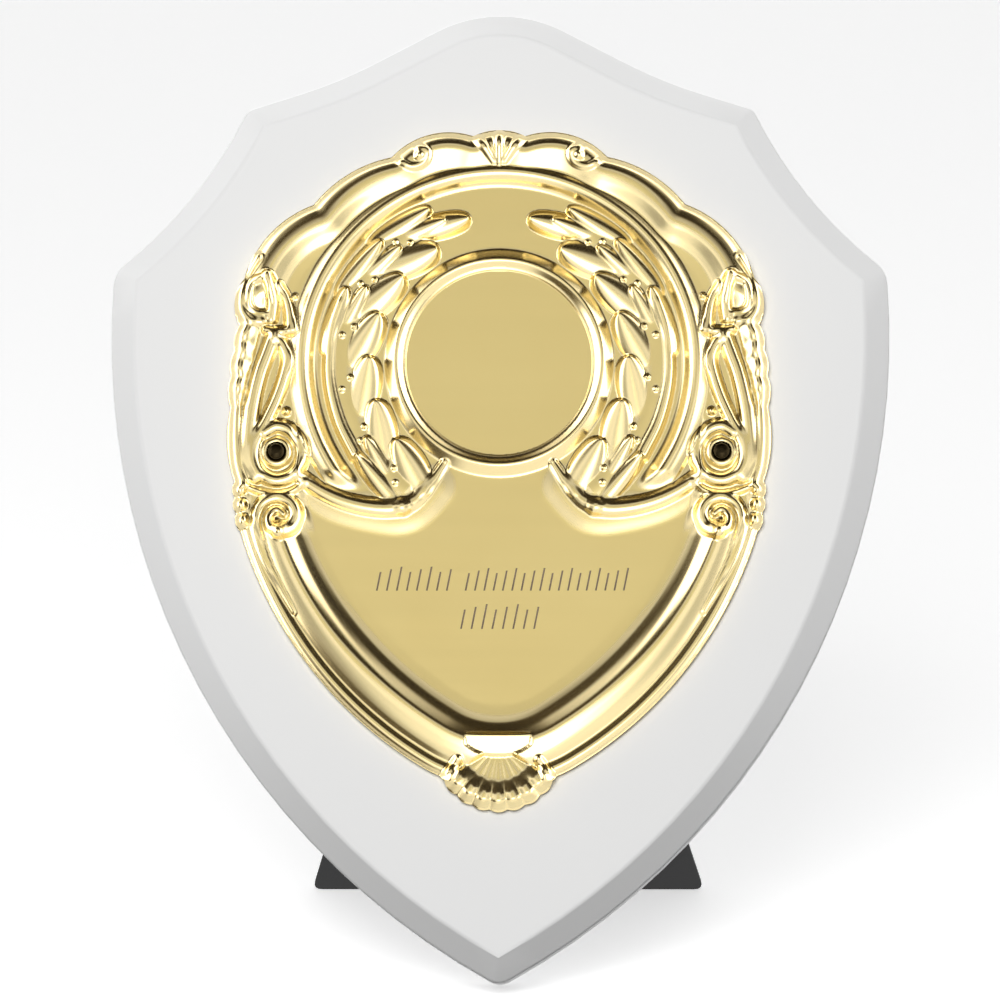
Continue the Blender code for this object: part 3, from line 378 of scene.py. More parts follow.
def board_half(inset):
    """Right half of the shield's outline from crest to tip, moved inwards by inset."""
    crest_centre = (0.0, BOARD_HEIGHT - CREST_RADIUS)
    crest_end = (CREST_RADIUS * sin(CREST_SLOPE), crest_centre[1] + CREST_RADIUS * cos(CREST_SLOPE))
    neck_centre = (crest_end[0] + CREST_RUN * cos(CREST_SLOPE) + NECK_RADIUS * sin(CREST_SLOPE),
                   crest_end[1] - CREST_RUN * sin(CREST_SLOPE) + NECK_RADIUS * cos(CREST_SLOPE))
    neck_end = (neck_centre[0] - NECK_RADIUS * sin(NECK_SLOPE),
                neck_centre[1] - NECK_RADIUS * cos(NECK_SLOPE))
    shoulder = (SHOULDER_X, neck_end[1] - (SHOULDER_X - neck_end[0]) * tan(NECK_SLOPE))
    side_rise = sqrt((SIDE_RADIUS - TIP_RADIUS) ** 2 - (SIDE_RADIUS - BOARD_HALF_WIDTH) ** 2)
    side_centre = (BOARD_HALF_WIDTH - SIDE_RADIUS, TIP_RADIUS + side_rise)
    horn = (side_centre[0] + sqrt(SIDE_RADIUS ** 2 - (HORN_S - side_centre[1]) ** 2), HORN_S)
    chord = hypot(horn[0] - shoulder[0], horn[1] - shoulder[1])
    off = sqrt(SCOOP_RADIUS ** 2 - chord ** 2 / 4) / chord
    scoop_centre = ((shoulder[0] + horn[0]) / 2 + off * (shoulder[1] - horn[1]),
                    (shoulder[1] + horn[1]) / 2 + off * (horn[0] - shoulder[0]))

    crest = arc(crest_centre, CREST_RADIUS - inset, pi / 2, pi / 2 - CREST_SLOPE, 6)
    neck = arc(neck_centre, NECK_RADIUS + inset, -pi / 2 - CREST_SLOPE, -pi / 2 - NECK_SLOPE, 4)
    way = (cos(NECK_SLOPE), -sin(NECK_SLOPE))
    scoop_radius = SCOOP_RADIUS + inset
    to_centre = (scoop_centre[0] - neck[-1][0], scoop_centre[1] - neck[-1][1])
    nearest = to_centre[0] * way[0] + to_centre[1] * way[1]
    run = nearest - sqrt(nearest ** 2 - to_centre[0] ** 2 - to_centre[1] ** 2 + scoop_radius ** 2)
    shoulder = (neck[-1][0] + run * way[0], neck[-1][1] + run * way[1])
    side_radius = SIDE_RADIUS - inset
    horn = circles_meet(side_centre, side_radius, scoop_centre, scoop_radius)

    reach = max(0.0, SHOULDER_ROUND - inset)
    horn_reach = max(0.0, HORN_ROUND - inset)
    scoop_start = turn(scoop_centre, shoulder) % (2 * pi) + reach / scoop_radius
    scoop_end = turn(scoop_centre, horn) % (2 * pi) - horn_reach / scoop_radius
    scoop = arc(scoop_centre, scoop_radius, scoop_start, scoop_end, 8)
    tip_radius = max(0.0, TIP_RADIUS - inset)
    if tip_radius > 0:
        side_end = turn(side_centre, (0.0, TIP_RADIUS))
    else:
        side_end = -acos(-side_centre[0] / side_radius)
    side_start = turn(side_centre, horn) - horn_reach / side_radius
    side = arc(side_centre, side_radius, side_start, side_end, 22)
    tip_centre = (0.0, side[-1][1]) if tip_radius == 0 else (0.0, TIP_RADIUS)
    tip = arc(tip_centre, tip_radius, side_end, -pi / 2, 4)
    before = (shoulder[0] - reach * way[0], shoulder[1] - reach * way[1])
    return (crest + neck + bend(before, shoulder, scoop[0], 4) + scoop[1:-1]
            + bend(scoop[-1], horn, side[0], 4) + side[1:] + tip[1:])


def whole(half):
    """Closed outline from its right half, which starts and ends on the axis."""
    return half + [(-x, s) for x, s in reversed(half[1:-1])]


def front_rim(spacing):
    """Right half of the pressed front's rim as it runs behind the shell."""
    ends = RIM_POINTS[1:] + ((0.0, RIM_FOOT_S),)
    rim = []
    for start, end in zip(RIM_POINTS, ends):
        rim += bulged(start[:2], end[:2], start[2], spacing)
    return rim + [(0.0, RIM_FOOT_S)]


def flute_wave(angle):
    """1 along the middle of each flute of the shell and 0 between two of them."""
    return abs(np.cos(angle * pi * FLUTES / (2 * FAN_EDGE)))


def front_half(spacing):
    """Right half of the pressed front's outline, with the scalloped shell."""
    rim = [(x, s) for x, s in front_rim(spacing)
           if s > FAN_S or atan2(x, FAN_S - s) > FAN_EDGE + 0.1]
    steps = 4 * FLUTES
    shell = []
    for i in range(steps + 1):
        angle = FAN_EDGE * (1 - i / steps)
        radius = FAN_RADIUS + FLUTE_BULGE * flute_wave(angle)
        shell.append((radius * sin(angle), FAN_S - radius * cos(angle)))
    return rim + shell


def ease(t):
    """A smooth step from 0 to 1."""
    t = np.clip(t, 0.0, 1.0)
    return t * t * (3 - 2 * t)


def section(corners, soft):
    """A cross-section: straight runs between (place, height) corners, rounded off over soft."""
    places, heights = zip(*corners)
    step = 0.01
    reach = round(soft / step)
    fine = np.arange(places[0] - 1.0, places[-1] + 1.0, step)
    window = np.hanning(2 * reach + 1)
    rounded = np.convolve(np.interp(fine, places, heights), window / window.sum(), mode="valid")
    kept = fine[reach:len(fine) - reach]
    return lambda v: np.interp(v, kept, rounded)


def to_path(points, path):
    """Distance of each point from a path, and how far along the path that is, from 0 to 1."""
    start = path[:-1]
    step = path[1:] - start
    long = (step ** 2).sum(axis=1)
    marks = np.concatenate([[0.0], np.cumsum(np.sqrt(long))])
    distance = np.empty(len(points))
    share = np.empty(len(points))
    for first in range(0, len(points), 4000):
        some = points[first:first + 4000, None, :] - start
        t = np.clip((some * step).sum(axis=2) / long, 0.0, 1.0)
        gap = np.sqrt(((some - t[:, :, None] * step) ** 2).sum(axis=2))
        near = gap.argmin(axis=1)
        rows = np.arange(len(near))
        distance[first:first + 4000] = gap[rows, near]
        share[first:first + 4000] = (marks[near] + t[rows, near] * np.sqrt(long[near])) / marks[-1]
    return distance, share


def stroke(points, path, start_width, end_width, height, roundness):
    """Rise of a stroke over the ground, lower where it is narrower."""
    path = curve(path)
    reach = max(start_width, end_width)
    near = ((points > path.min(axis=0) - reach) & (points < path.max(axis=0) + reach)).all(axis=1)
    rise = np.zeros(len(points))
    distance, share = to_path(points[near], path)
    width = start_width + (end_width - start_width) * share
    swell = np.clip(1 - (distance / width) ** 2, 0.0, None) ** roundness
    rise[near] = height * width / reach * swell
    return rise


def joined(rise, over):
    """Two rises where they overlap, with a soft meeting between them."""
    return (rise ** BLEND + over ** BLEND) ** (1 / BLEND)


def leaf(points, tip, base, half_width, height):
    """Rise of a leaf, which lifts towards its pointed tip."""
    way = np.subtract(tip, base)
    long = hypot(*way)
    way = way / long
    off = points - np.array(base)
    along = off @ way / long
    taper = np.clip(4 * along * (1 - along), 1e-9, None) ** LEAF_TAPER
    across = (off @ np.array((-way[1], way[0]))) / (half_width * taper)
    swell = np.clip(1 - across ** 2, 0.0, None) ** LEAF_ROUND
    swell = np.where((along > 0) & (along < 1), swell, 0.0)
    return height * (LEAF_LOW_END + (1 - LEAF_LOW_END) * along) * swell


def polar(radius, angle):
    """Place at a radius and an angle from straight up, seen from the ring's centre."""
    return (radius * sin(angle), RING_S + radius * cos(angle))


def wreath(points):
    """Rise of one side's spray of leaves and berries."""
    x, s = points.T
    off_stem = (np.hypot(x, s - RING_S) - STEM_RADIUS) / STEM_HALF_WIDTH
    angle = np.arctan2(x, s - RING_S)
    along = ease((angle - STEM_START) / STEM_FADE) * ease((STEM_END - angle) / STEM_FADE)
    rise = STEM_HEIGHT * along * np.clip(1 - off_stem ** 2, 0.0, None) ** STEM_ROUND
    sprays = [(END_LEAF, LEAF_FIRST)]
    for node in range(LEAF_NODES):
        angle = LEAF_FIRST + node * LEAF_PITCH
        sprays.append((INNER_LEAF, angle))
        if node in SIDE_LEAF_NODES:
            sprays += [(OUTER_LEAF, angle), (MIDDLE_LEAF, angle)]
        for radius, lead in BERRY_PLACES:
            gap = np.hypot(*(points - np.array(polar(radius, angle + lead))).T) / BERRY_RADIUS
            rise = np.maximum(rise, BERRY_HEIGHT * np.sqrt(np.clip(1 - gap ** 2, 0.0, None)))
    for (tip_radius, base_radius, lead, turn_back, half_width, height), angle in sprays:
        tip = polar(tip_radius, angle + lead)
        base = polar(base_radius, angle + lead + turn_back)
        rise = np.maximum(rise, leaf(points, tip, base, half_width, height))
    return rise


def shell(x, s, ground):
    """Height of the fluted shell and its ledge, laid over the ground around it."""
    radius = np.hypot(x, s - FAN_S)
    angle = np.arctan2(x, FAN_S - s)
    wave = flute_wave(angle)
    outwards = ease((radius - FLUTE_RADIUS) / FLUTE_CHANGE)
    depth = FLUTE_DEPTH * (FLUTE_SHALLOW + (1 - FLUTE_SHALLOW) * outwards) * (wave - FLUTE_LEVEL)
    fan = section(FAN, SHELL_SOFT)(radius * FAN_RADIUS / (FAN_RADIUS + FLUTE_BULGE * wave))
    fan = np.maximum(fan + depth * ease(FAN_RADIUS - radius), SHEET_EDGE)
    hinge = HINGE_RADIUS - np.hypot(x, s - HINGE_S)
    ledge = section(LEDGE, SHELL_SOFT)(LEDGE_S - s)
    over = np.where(hinge > 0, ledge, fan)
    on_fan = ease((FAN_EDGE + FAN_CHANGE - angle) / FAN_CHANGE)
    on_ledge = (ease((LEDGE_HALF_WIDTH - x) / LEDGE_SIDE + 0.5)
                * ease((LEDGE_S + LEDGE_TOP - s) / LEDGE_TOP))
    share = np.where(hinge > 0, on_ledge, on_fan)
    return ground + (over - ground) * share


def relief(points):
    """Height of the pressed front over its back, for points with x >= 0."""
    points = np.asarray(points, dtype=float)
    x, s = points.T
    edge = to_path(points, np.array(front_rim(0.5)))[0]
    low = section(LOW_RIM, RIM_SOFT)(edge)
    middle = section(MIDDLE_RIM, RIM_SOFT)(edge)
    low = low + (middle - low) * ease((s - LOW_S) / (MIDDLE_S - LOW_S))
    side = section(SIDE_RIM, RIM_SOFT)(edge)
    high = section(HIGH_RIM, RIM_SOFT)(edge)
    top = section(TOP_RIM, RIM_SOFT)(edge)
    ground = low + (side - low) * ease((s - SIDE_LOW_S) / RIM_CHANGE)
    ground = ground + (high - ground) * ease((s - SIDE_HIGH_S) / RIM_CHANGE)
    ground = ground + (top - ground) * ease((s - TOP_S) / (2 * RIM_CHANGE))

    lift = np.where(s > RING_S, ARCH_SQUASH, 1.0)
    arch_radius = np.hypot(x, (s - RING_S) / lift)
    arch = section(ARCH, RING_SOFT)(arch_radius)
    above_foot = ease((s - ARCH_FOOT_S) / ARCH_FOOT_CHANGE)
    outer = ground * ease((arch_radius - ARCH_CREST + ARCH_MEETS_RIM) / ARCH_MEETS_RIM)
    over = np.maximum(arch, outer)
    over = np.where(arch_radius < ARCH_OUTSIDE, over, ground)
    within = np.where(arch_radius < ARCH_CREST, FLOOR, ground)
    ground = within + (over - within) * above_foot
    ring_radius = np.hypot(x, s - RING_S)
    ring = section(RING, RING_SOFT)(ring_radius)
    ground = np.where(ring_radius < RING[-1][0] + RING_SOFT, ring, ground)

    ground = shell(x, s, ground)
    rise = wreath(points)
    for drawn in STROKES:
        rise = joined(rise, stroke(points, *drawn))
    for boss_x, boss_s, radius, height in BOSSES:
        gap = np.hypot(x - boss_x, s - boss_s) / radius
        rise = joined(rise, height * np.clip(1 - gap ** 2, 0.0, None))
    socket = ease((np.hypot(x - PIN_X, s - PIN_S) - PIN_SOCKET_RADIUS) / PIN_SOCKET_CHANGE)
    level = ground + rise
    return PIN_SOCKET + (level - PIN_SOCKET) * socket


def circle(centre, radius, sides):
    """Points round a circle, counter-clockwise as seen from the front."""
    return arc(centre, radius, 0.0, 2 * pi, sides)[:-1]


def inside(points, loops):
    """Which points lie inside closed loops, counting a loop within another as a hole."""
    x, s = points.T
    hit = np.zeros(len(points), dtype=bool)
    for loop in loops:
        start = np.array(loop)
        end = np.roll(start, -1, axis=0)
        for (ax, a), (bx, b) in zip(start, end):
            if a != b:
                hit ^= ((a > s) != (b > s)) & (x < ax + (bx - ax) * (s - a) / (b - a))
    return hit


def triangles(rings, points, loops):
    """Triangles over the area inside the loops, along the rings' edges and over further points."""
    corners = [p for ring in rings for p in ring] + [tuple(p) for p in points]
    edges = []
    first = 0
    for ring in rings:
        edges += [(first + i, first + (i + 1) % len(ring)) for i in range(len(ring))]
        first += len(ring)
    faces = np.array(delaunay_2d_cdt([Vector(c) for c in corners], edges, [], 0, 1e-7, False)[2])
    corners = np.array(corners)
    middles = corners[faces].mean(axis=1)
    return corners, faces[inside(middles, loops)]


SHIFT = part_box("shield_board")[1].y - BOARD_HEIGHT * sin(LEAN) * MM
LEANING = Matrix.Translation((0.0, SHIFT, 0.0)) @ Matrix.Rotation(-LEAN, 4, "X")


def place(x, s, n):
    """A point of the board's frame, in the scene."""
    return LEANING @ (Vector((x, -n, s)) * MM)


class Value:
    """A shader socket that takes part in sums."""

    def __init__(self, graph, socket):
        self.graph = graph
        self.socket = socket

    def math(self, operation, *values):
        return self.graph.node("ShaderNodeMath", {"operation": operation}, dict(enumerate(values)))

    def __add__(self, other):
        return self.math("ADD", self, other)

    __radd__ = __add__

    def __sub__(self, other):
        return self.math("SUBTRACT", self, other)

    def __rsub__(self, other):
        return self.math("SUBTRACT", other, self)

    def __mul__(self, other):
        return self.math("MULTIPLY", self, other)

    __rmul__ = __mul__


class Graph:
    """A node tree that is built one node at a time."""

    def __init__(self, tree):
        self.tree = tree

    def node(self, kind, settings, values, output=0):
        made = self.tree.nodes.new(kind)
        for name, value in settings.items():
            setattr(made, name, value)
        for name, value in values.items():
            self.feed(made.inputs[name], value)
        return Value(self, made.outputs[output])

    def feed(self, socket, value):
        if isinstance(value, Value):
            self.tree.links.new(value.socket, socket)
        else:
            socket.default_value = value

    def between(self, value, low, high):
        return self.node("ShaderNodeMapRange", {"interpolation_type": "SMOOTHSTEP"},
                         {0: value, 1: low, 2: high})

    def along(self, direction, axis):
        return self.node("ShaderNodeVectorMath", {"operation": "DOT_PRODUCT"},
                         {0: direction, 1: axis}, "Value")

    def mix(self, share, first, second):
        return self.node("ShaderNodeMix", {"data_type": "RGBA"}, {0: share, 6: first, 7: second}, 2)


class Look(Graph):
    """A material and the patterns that it is made from."""

    def __init__(self, name):
        self.material = bpy.data.materials.new(name)
        self.material.use_nodes = True
        super().__init__(self.material.node_tree)
        self.shader = self.tree.nodes["Principled BSDF"]

    def set(self, **values):
        for name, value in values.items():
            self.feed(self.shader.inputs[name.replace("_", " ")], value)

    def place(self, stretch=(1.0, 1.0, 1.0)):
        coords = self.node("ShaderNodeTexCoord", {}, {}, "Object")
        return self.node("ShaderNodeVectorMath", {"operation": "MULTIPLY"}, {0: coords, 1: stretch})

    def noise(self, scale, detail=2.0, stretch=(1.0, 1.0, 1.0), rough=0.5):
        return self.node("ShaderNodeTexNoise", {}, {"Vector": self.place(stretch), "Scale": scale,
                                                    "Detail": detail, "Roughness": rough})

    def bump(self, height, distance):
        return self.node("ShaderNodeBump", {}, {"Height": height, "Distance": distance,
                                                "Strength": 1.0})


def gold_look():
    """Bright gold: satin with a faint level brush on the flats, polished on the raised forms, which
    are also painted a paler gold so that their reflections read whiter: a painted highlight.
    """
    look = Look("pressed_gold")
    normal = look.node("ShaderNodeNewGeometry", {}, {}, "Normal")
    facing = look.along(normal, tuple(LEANING.to_3x3() @ Vector((0.0, -1.0, 0.0))))
    flat = look.between(facing, 0.985, 0.998)
    brush = look.noise(900.0, 3.0, (0.02, 1.0, 1.0), 0.6)
    cloud = look.noise(60.0, 3.0)
    roughness = 0.18 + flat * (0.08 + 0.1 * brush) + 0.04 * cloud
    satin = look.mix(cloud, (0.93, 0.73, 0.29, 1.0), (0.96, 0.78, 0.34, 1.0))
    # Raised forms get a paler gold than the flats: a painted highlight that whitens their
    # reflections
    paler_slope_highlight_gold = look.mix(flat, (0.98, 0.81, 0.43, 1.0), satin)
    look.set(Base_Color=paler_slope_highlight_gold, Metallic=1.0, Roughness=roughness,
             Normal=look.bump(brush * flat, 0.000006))
    return look.material


def lacquer_look():
    """White satin lacquer with a very faint orange peel."""
    look = Look("white_satin_lacquer")
    cloud = look.noise(25.0, 2.0)
    peel = look.noise(900.0, 2.0)
    look.set(Base_Color=look.mix(cloud, (0.86, 0.86, 0.855, 1.0), (0.88, 0.88, 0.875, 1.0)),
             Roughness=0.32 + 0.06 * cloud, Normal=look.bump(peel, 0.000012))
    return look.material


def engraved_look():
    """Dull brown grey of the cut strokes."""
    look = Look("engraved_strokes")
    grain = look.noise(2500.0, 2.0)
    look.set(Base_Color=look.mix(grain, (0.20, 0.15, 0.10, 1.0), (0.30, 0.24, 0.17, 1.0)),
             Metallic=0.5, Roughness=0.55 + 0.1 * grain)
    return look.material


def bronze_look():
    """Dark patinated bronze of the pins."""
    look = Look("dark_bronze_pins")
    stain = look.noise(1500.0, 3.0)
    look.set(Base_Color=look.mix(stain, (0.012, 0.009, 0.005, 1.0), (0.05, 0.036, 0.016, 1.0)),
             Metallic=1.0, Roughness=0.25 + 0.15 * stain, Normal=look.bump(stain, 0.00002))
    return look.material


def black_look():
    """Satin black coating of the strut, with a fine texture."""
    look = Look("black_satin_coating")
    grain = look.noise(2200.0, 3.0)
    wear = look.noise(40.0, 3.0)
    look.set(Base_Color=look.mix(wear, (0.014, 0.014, 0.015, 1.0), (0.025, 0.025, 0.026, 1.0)),
             Roughness=0.42 + 0.12 * wear, Normal=look.bump(grain, 0.00003))
    return look.material


def zinc_look():
    """Zinc plating of the screws, dulled in places."""
    look = Look("dull_zinc_plating")
    dull = look.noise(700.0, 3.0)
    look.set(Base_Color=look.mix(dull, (0.55, 0.55, 0.57, 1.0), (0.68, 0.67, 0.65, 1.0)),
             Metallic=1.0, Roughness=0.28 + 0.2 * dull, Normal=look.bump(dull, 0.00001))
    return look.material


class Heights:
    """The relief on a fine grid, softened as pressed sheet is, with its slopes and bend."""

    def __init__(self):
        self.low = np.array((-1.0, 21.0))
        across = np.arange(self.low[0], 38.0, GRID_STEP)
        up = np.arange(self.low[1], 115.5, GRID_STEP)
        x, s = np.meshgrid(across, up)
        level = relief(np.column_stack([abs(x.ravel()), s.ravel()])).reshape(x.shape)
        window = np.hanning(2 * GRID_SOFT + 1)
        window /= window.sum()

        def softened(line):
            return np.convolve(np.pad(line, GRID_SOFT, mode="edge"), window, mode="valid")

        for axis in (0, 1):
            level = np.apply_along_axis(softened, axis, level)
        slope_s, slope_x = np.gradient(level, GRID_STEP)
        bend = sum(np.abs(part) for slope in (slope_s, slope_x)
                   for part in np.gradient(slope, GRID_STEP))
        for axis in (0, 1):
            bend = np.max([np.roll(bend, shift, axis) for shift in range(-2, 3)], axis=0)
        self.layers = np.dstack([level, slope_x, slope_s, bend])
        self.recess = section(RECESS, RECESS_SOFT)

    def at(self, points):
        """Height, slope to the right, slope upwards and bend at some points."""
        points = np.asarray(points)
        side = np.sign(points[:, 0])
        spot = (np.column_stack([abs(points[:, 0]), points[:, 1]]) - self.low) / GRID_STEP
        cell = np.clip(spot.astype(int), 0, np.array(self.layers.shape[1::-1]) - 2)
        u, v = (spot - cell).T[:, :, None]
        column, row = cell.T
        below, above = (self.layers[k, column] * (1 - u) + self.layers[k, column + 1] * u
                        for k in (row, row + 1))
        values = below * (1 - v) + above * v
        values[:, 1] *= side
        off = points - np.array((0.0, RING_S))
        radius = np.hypot(*off.T)
        sunk = (radius < RECESS[-1][0]) & (self.recess(radius) < values[:, 0])
        steep = (self.recess(radius + 0.01) - self.recess(radius - 0.01)) / 0.02
        values[sunk, 0] = self.recess(radius[sunk])
        values[sunk, 1:3] = (off * (steep / np.maximum(radius, 0.1))[:, None])[sunk]
        return values


def lattice_points(loops, heights):
    """Points for the sheet's mesh within its loops, closer together where it bends more."""
    low = np.min(loops[0], axis=0)
    high = np.max(loops[0], axis=0)
    layers = []
    for spacing, least_bend in LATTICE:
        rows = round((high[1] - low[1]) / (spacing * sqrt(0.75)))
        columns = round(high[0] / spacing) + 1
        column, row = np.meshgrid(np.arange(-columns, columns + 1), np.arange(rows))
        x = (column + 0.5 * (row % 2)) * spacing
        points = np.column_stack([x.ravel(), (low[1] + row * spacing * sqrt(0.75)).ravel()])
        layers.append(points[heights.at(points)[:, 3] >= least_bend])
    points = np.unique(np.vstack(layers).round(4), axis=0)
    radius = np.hypot(points[:, 0], points[:, 1] - RING_S)
    margin = RECESS_STEP / 2
    points = points[(radius < RECESS_RINGS[0] - margin) | (radius > RECESS_RINGS[-1] + margin)]
    rings = [circle((0.0, RING_S), radius, round(2 * pi * radius / RECESS_STEP))
             for radius in RECESS_RINGS]
    points = np.vstack([points] + rings)
    points = points[inside(points, loops)]
    for loop in loops:
        for first in range(0, len(loop), 40):
            some = np.array(loop[first:first + 40])
            near = ((points > some.min(axis=0) - EDGE_CLEARANCE)
                    & (points < some.max(axis=0) + EDGE_CLEARANCE)).all(axis=1)
            gaps = np.hypot(*(points[near, None, :] - some[None]).transpose(2, 0, 1)).min(axis=1)
            keep = np.ones(len(points), dtype=bool)
            keep[np.flatnonzero(near)[gaps < EDGE_CLEARANCE]] = False
            points = points[keep]
    return points


def engraved():
    """Outlines of the engraved strokes, each followed by the outline of its floor."""
    rings = []
    for first, last, foot, top, count in ENGRAVED_ROWS:
        for i in range(count):
            x = first + (last - first) * i / (count - 1)
            tall = (top - foot) * (1.0 - 0.11 * ((i * 5 + 2) % 3))
            lean = ENGRAVED_SLANT * tall
            for shrink in (0.0, ENGRAVED_WALL):
                half = ENGRAVED_WIDTH / 2 - shrink
                low = foot + shrink
                high = foot + tall - shrink
                rings.append([(x - half, low), (x + half, low),
                              (x + half + lean, high), (x - half + lean, high)])
    return rings


def new_object(name, vertices, faces, looks, face_looks):
    """An object from its mesh, its materials and which one each face has."""
    mesh = bpy.data.meshes.new(name)
    mesh.from_pydata(vertices, [], faces)
    for look in looks:
        mesh.materials.append(look)
    mesh.polygons.foreach_set("material_index", face_looks)
    mesh.update()
    made = bpy.data.objects.new(name, mesh)
    bpy.context.scene.collection.objects.link(made)
    return made


def gold_front():
    """The pressed front with its fine relief and the engraved strokes."""
    heights = Heights()
    outline = whole(front_half(OUTLINE_STEP))[::-1]
    holes = [circle((side * PIN_X, PIN_S), PIN_HOLE, HOLE_SIDES)[::-1] for side in (1, -1)]
    loops = [outline] + holes
    points = lattice_points(loops, heights)
    strokes = engraved()
    for ring in strokes[::2]:
        (x0, s0), (x1, s1) = ring[0], ring[2]
        share = np.clip((points[:, 1] - s0) / (s1 - s0), 0.0, 1.0)
        middle = (x0 + ring[1][0]) / 2 + (x1 - ring[1][0]) * share
        gap = np.hypot(points[:, 0] - middle, points[:, 1] - (s0 + (s1 - s0) * share))
        points = points[gap > ENGRAVED_WIDTH / 2 + ENGRAVED_CLEARANCE]

    corners, faces = triangles(loops + strokes, points, loops)
    values = heights.at(corners)
    level = values[:, 0]
    edge_count = sum(len(loop) for loop in loops)
    stroke_corners = sum(len(ring) for ring in strokes)
    sunk = np.arange(stroke_corners) % 8 > 3
    level[edge_count:edge_count + stroke_corners][sunk] -= ENGRAVED_DEPTH
    base = BOARD_THICK + GAP
    normals = np.column_stack([-values[:, 1], -np.ones(len(corners)), -values[:, 2]])
    normals = normals / np.linalg.norm(normals, axis=1, keepdims=True)
    normals = normals @ np.array(LEANING.to_3x3()).T
    cut = inside(corners[faces].mean(axis=1), strokes[::2])

    vertices = [place(x, s, base + h) for (x, s), h in zip(corners, level)]
    under = len(vertices)
    vertices += [place(x, s, base) for x, s in corners[:edge_count]]
    back = [(under + a, under + c, under + b) for a, b, c in triangles(loops, [], loops)[1]]
    walls = []
    first = 0
    for loop in loops:
        for i in range(len(loop)):
            a, b = first + i, first + (i + 1) % len(loop)
            walls.append((under + a, under + b, b, a))
        first += len(loop)
    own_normal = [(0.0, 0.0, 0.0)]
    corner_normals = []
    for face, is_cut in zip(faces, cut):
        corner_normals += own_normal * 3 if is_cut else [tuple(normals[k]) for k in face]
    corner_normals += own_normal * (3 * len(back) + 4 * len(walls))
    all_faces = [tuple(face) for face in faces] + back + walls
    face_looks = list(cut.astype(int)) + [0] * (len(back) + len(walls))
    made = new_object("gold_relief_front", vertices, all_faces, [gold_look(), engraved_look()],
                      face_looks)
    made.data.shade_smooth()
    made.data.set_sharp_from_angle(angle=CREASE)
    made.data.normals_split_custom_set(corner_normals)
    return made


def lacquered_board():
    """The board with a finely rounded outline and soft arrises."""
    outline = whole(board_half(0.0))
    inner = whole(board_half(BEVEL))
    bm = bmesh.new()
    rings = [[bm.verts.new(place(x, s, n)) for x, s in loop]
             for loop, n in ((outline, 0.0), (outline, BOARD_THICK - BEVEL), (inner, BOARD_THICK))]
    for lower, upper in zip(rings, rings[1:]):
        for i in range(len(lower)):
            j = (i + 1) % len(lower)
            bm.faces.new((lower[i], lower[j], upper[j], upper[i]))
    bm.faces.new(rings[0])
    bm.faces.new(rings[2])
    bmesh.ops.remove_doubles(bm, verts=bm.verts, dist=0.001 * MM)
    bmesh.ops.recalc_face_normals(bm, faces=bm.faces)
    mesh = bpy.data.meshes.new("lacquered_board")
    bm.to_mesh(mesh)
    bm.free()
    mesh.materials.append(lacquer_look())
    mesh.shade_smooth()
    made = bpy.data.objects.new("lacquered_board", mesh)
    bpy.context.scene.collection.objects.link(made)
    bevel = made.modifiers.new("arris", "BEVEL")
    bevel.width = ARRIS * MM
    bevel.segments = ARRIS_SEGMENTS
    bevel.limit_method = "ANGLE"
    bevel.angle_limit = ARRIS_ANGLE
    bevel.harden_normals = True
    return made


front = gold_front()
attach(front, "root")
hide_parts("pressed_front")

board = lacquered_board()
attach(board, "root")
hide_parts("shield_board")

for names, look in ((("pin_left", "pin_right"), bronze_look()),
                    (("strut",), black_look()),
                    (("strut_screw_upper", "strut_screw_lower"), zinc_look())):
    for name in names:
        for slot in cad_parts[name].material_slots:
            slot.material = look


def patches(graph, way, level, spots):
    """Brightness towards each direction of a sphere with soft round patches."""
    for azimuth, rise, inner, outer, brightness in spots:
        a, e = radians(azimuth), radians(rise)
        axis = (sin(a) * cos(e), -cos(a) * cos(e), sin(e))
        share = graph.between(graph.along(way, axis), cos(radians(outer)), cos(radians(inner)))
        level = level + share * (brightness - level)
    return level


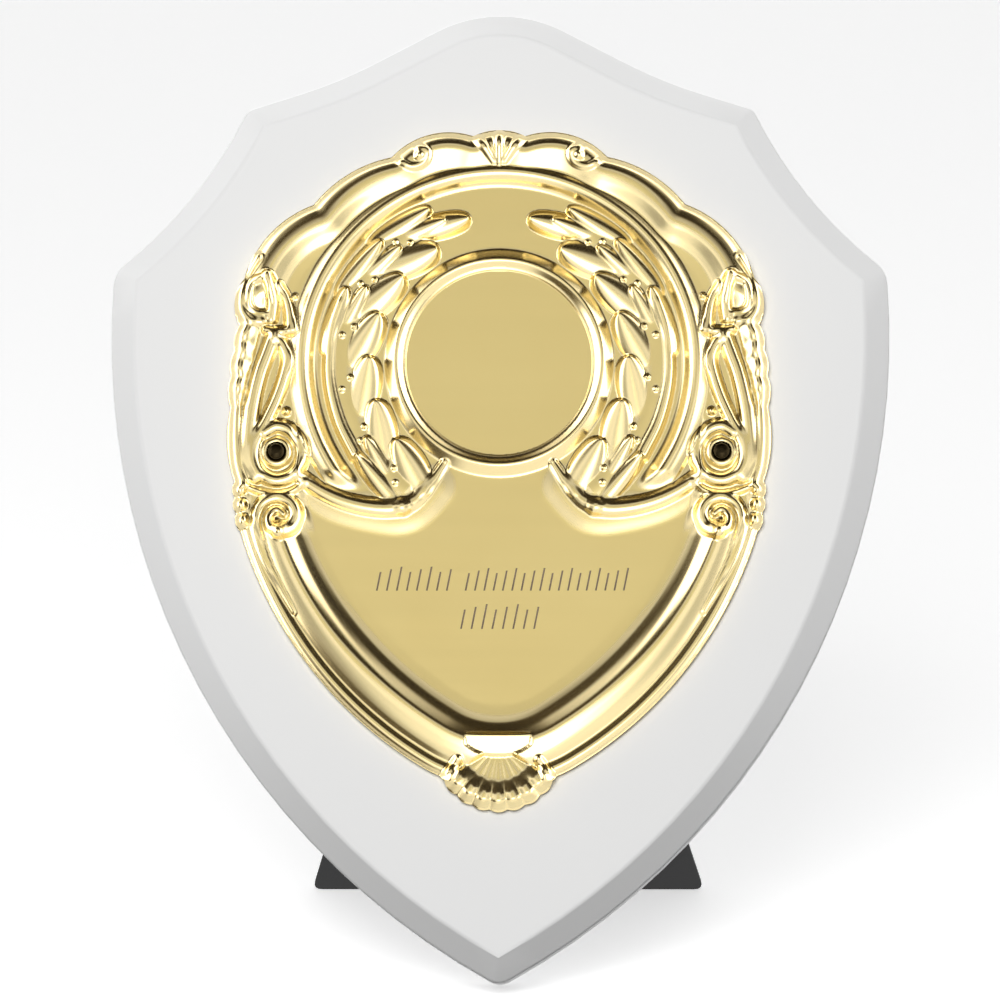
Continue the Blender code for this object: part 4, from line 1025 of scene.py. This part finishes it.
def light_studio():
    """The soft surroundings of the plaque, warmer where they are dark."""
    world = bpy.data.worlds.new("studio")
    bpy.context.scene.world = world
    world.use_nodes = True
    graph = Graph(world.node_tree)
    way = graph.node("ShaderNodeTexCoord", {}, {}, "Generated")
    lit = patches(graph, way, LIT_AMBIENT, LIT)
    seen = patches(graph, way, SEEN_AMBIENT, SEEN)
    mirrored = graph.node("ShaderNodeLightPath", {}, {}, "Is Glossy Ray")
    tint = graph.mix(graph.between(seen, 0.0, SHADE_END), WARM_SHADE, WHITE)
    colour = graph.mix(mirrored, WHITE, tint)
    background = world.node_tree.nodes["Background"]
    graph.feed(background.inputs["Color"], colour)
    graph.feed(background.inputs["Strength"], lit + mirrored * (seen - lit))


light_studio()

key_light = bpy.data.lights.new("key_box", "AREA")
key_light.size = KEY_SIZE
key_light.energy = KEY_RADIANCE * pi * KEY_SIZE ** 2
key = bpy.data.objects.new("key_box", key_light)
key.location = KEY_PLACE
key.rotation_mode = "QUATERNION"
key.rotation_quaternion = (Vector(KEY_AIM) - Vector(KEY_PLACE)).to_track_quat("-Z", "Y")
key.visible_glossy = False
bpy.context.scene.collection.objects.link(key)

pale = Look("pale_floor")
pale.set(Base_Color=(0.86, 0.86, 0.86, 1.0), Roughness=0.8, Emission_Color=WHITE,
         Emission_Strength=FLOOR_GLOW)
floor_corners = [(x * FLOOR_REACH, y * FLOOR_REACH, 0.0)
                 for x, y in ((-1, -1), (1, -1), (1, 1), (-1, 1))]
floor = new_object("floor", floor_corners, [(0, 1, 2, 3)], [pale.material], [0])
floor.visible_diffuse = False
floor.visible_glossy = False

camera_data = bpy.data.cameras.new("camera")
camera_data.lens = CAMERA_LENS
camera_data.sensor_width = CAMERA_SENSOR
camera_data.shift_x, camera_data.shift_y = CAMERA_SHIFT
camera_data.clip_start = CAMERA_NEAREST
camera = bpy.data.objects.new("camera", camera_data)
target = place(*CAMERA_TARGET)
away = Vector((sin(CAMERA_SIDE) * cos(CAMERA_RISE), -cos(CAMERA_SIDE) * cos(CAMERA_RISE),
               sin(CAMERA_RISE)))
eye = target + away * CAMERA_DISTANCE * MM
right = (-away).cross(Vector((0.0, 0.0, 1.0))).normalized()
up = right.cross(-away)
right, up = (cos(CAMERA_ROLL) * right + sin(CAMERA_ROLL) * up,
             cos(CAMERA_ROLL) * up - sin(CAMERA_ROLL) * right)
turn_to = Matrix((right, up, away)).transposed()
camera.matrix_world = Matrix.Translation(eye) @ turn_to.to_4x4()
bpy.context.scene.collection.objects.link(camera)
bpy.context.scene.camera = camera
bpy.context.scene.view_settings.view_transform = "Standard"
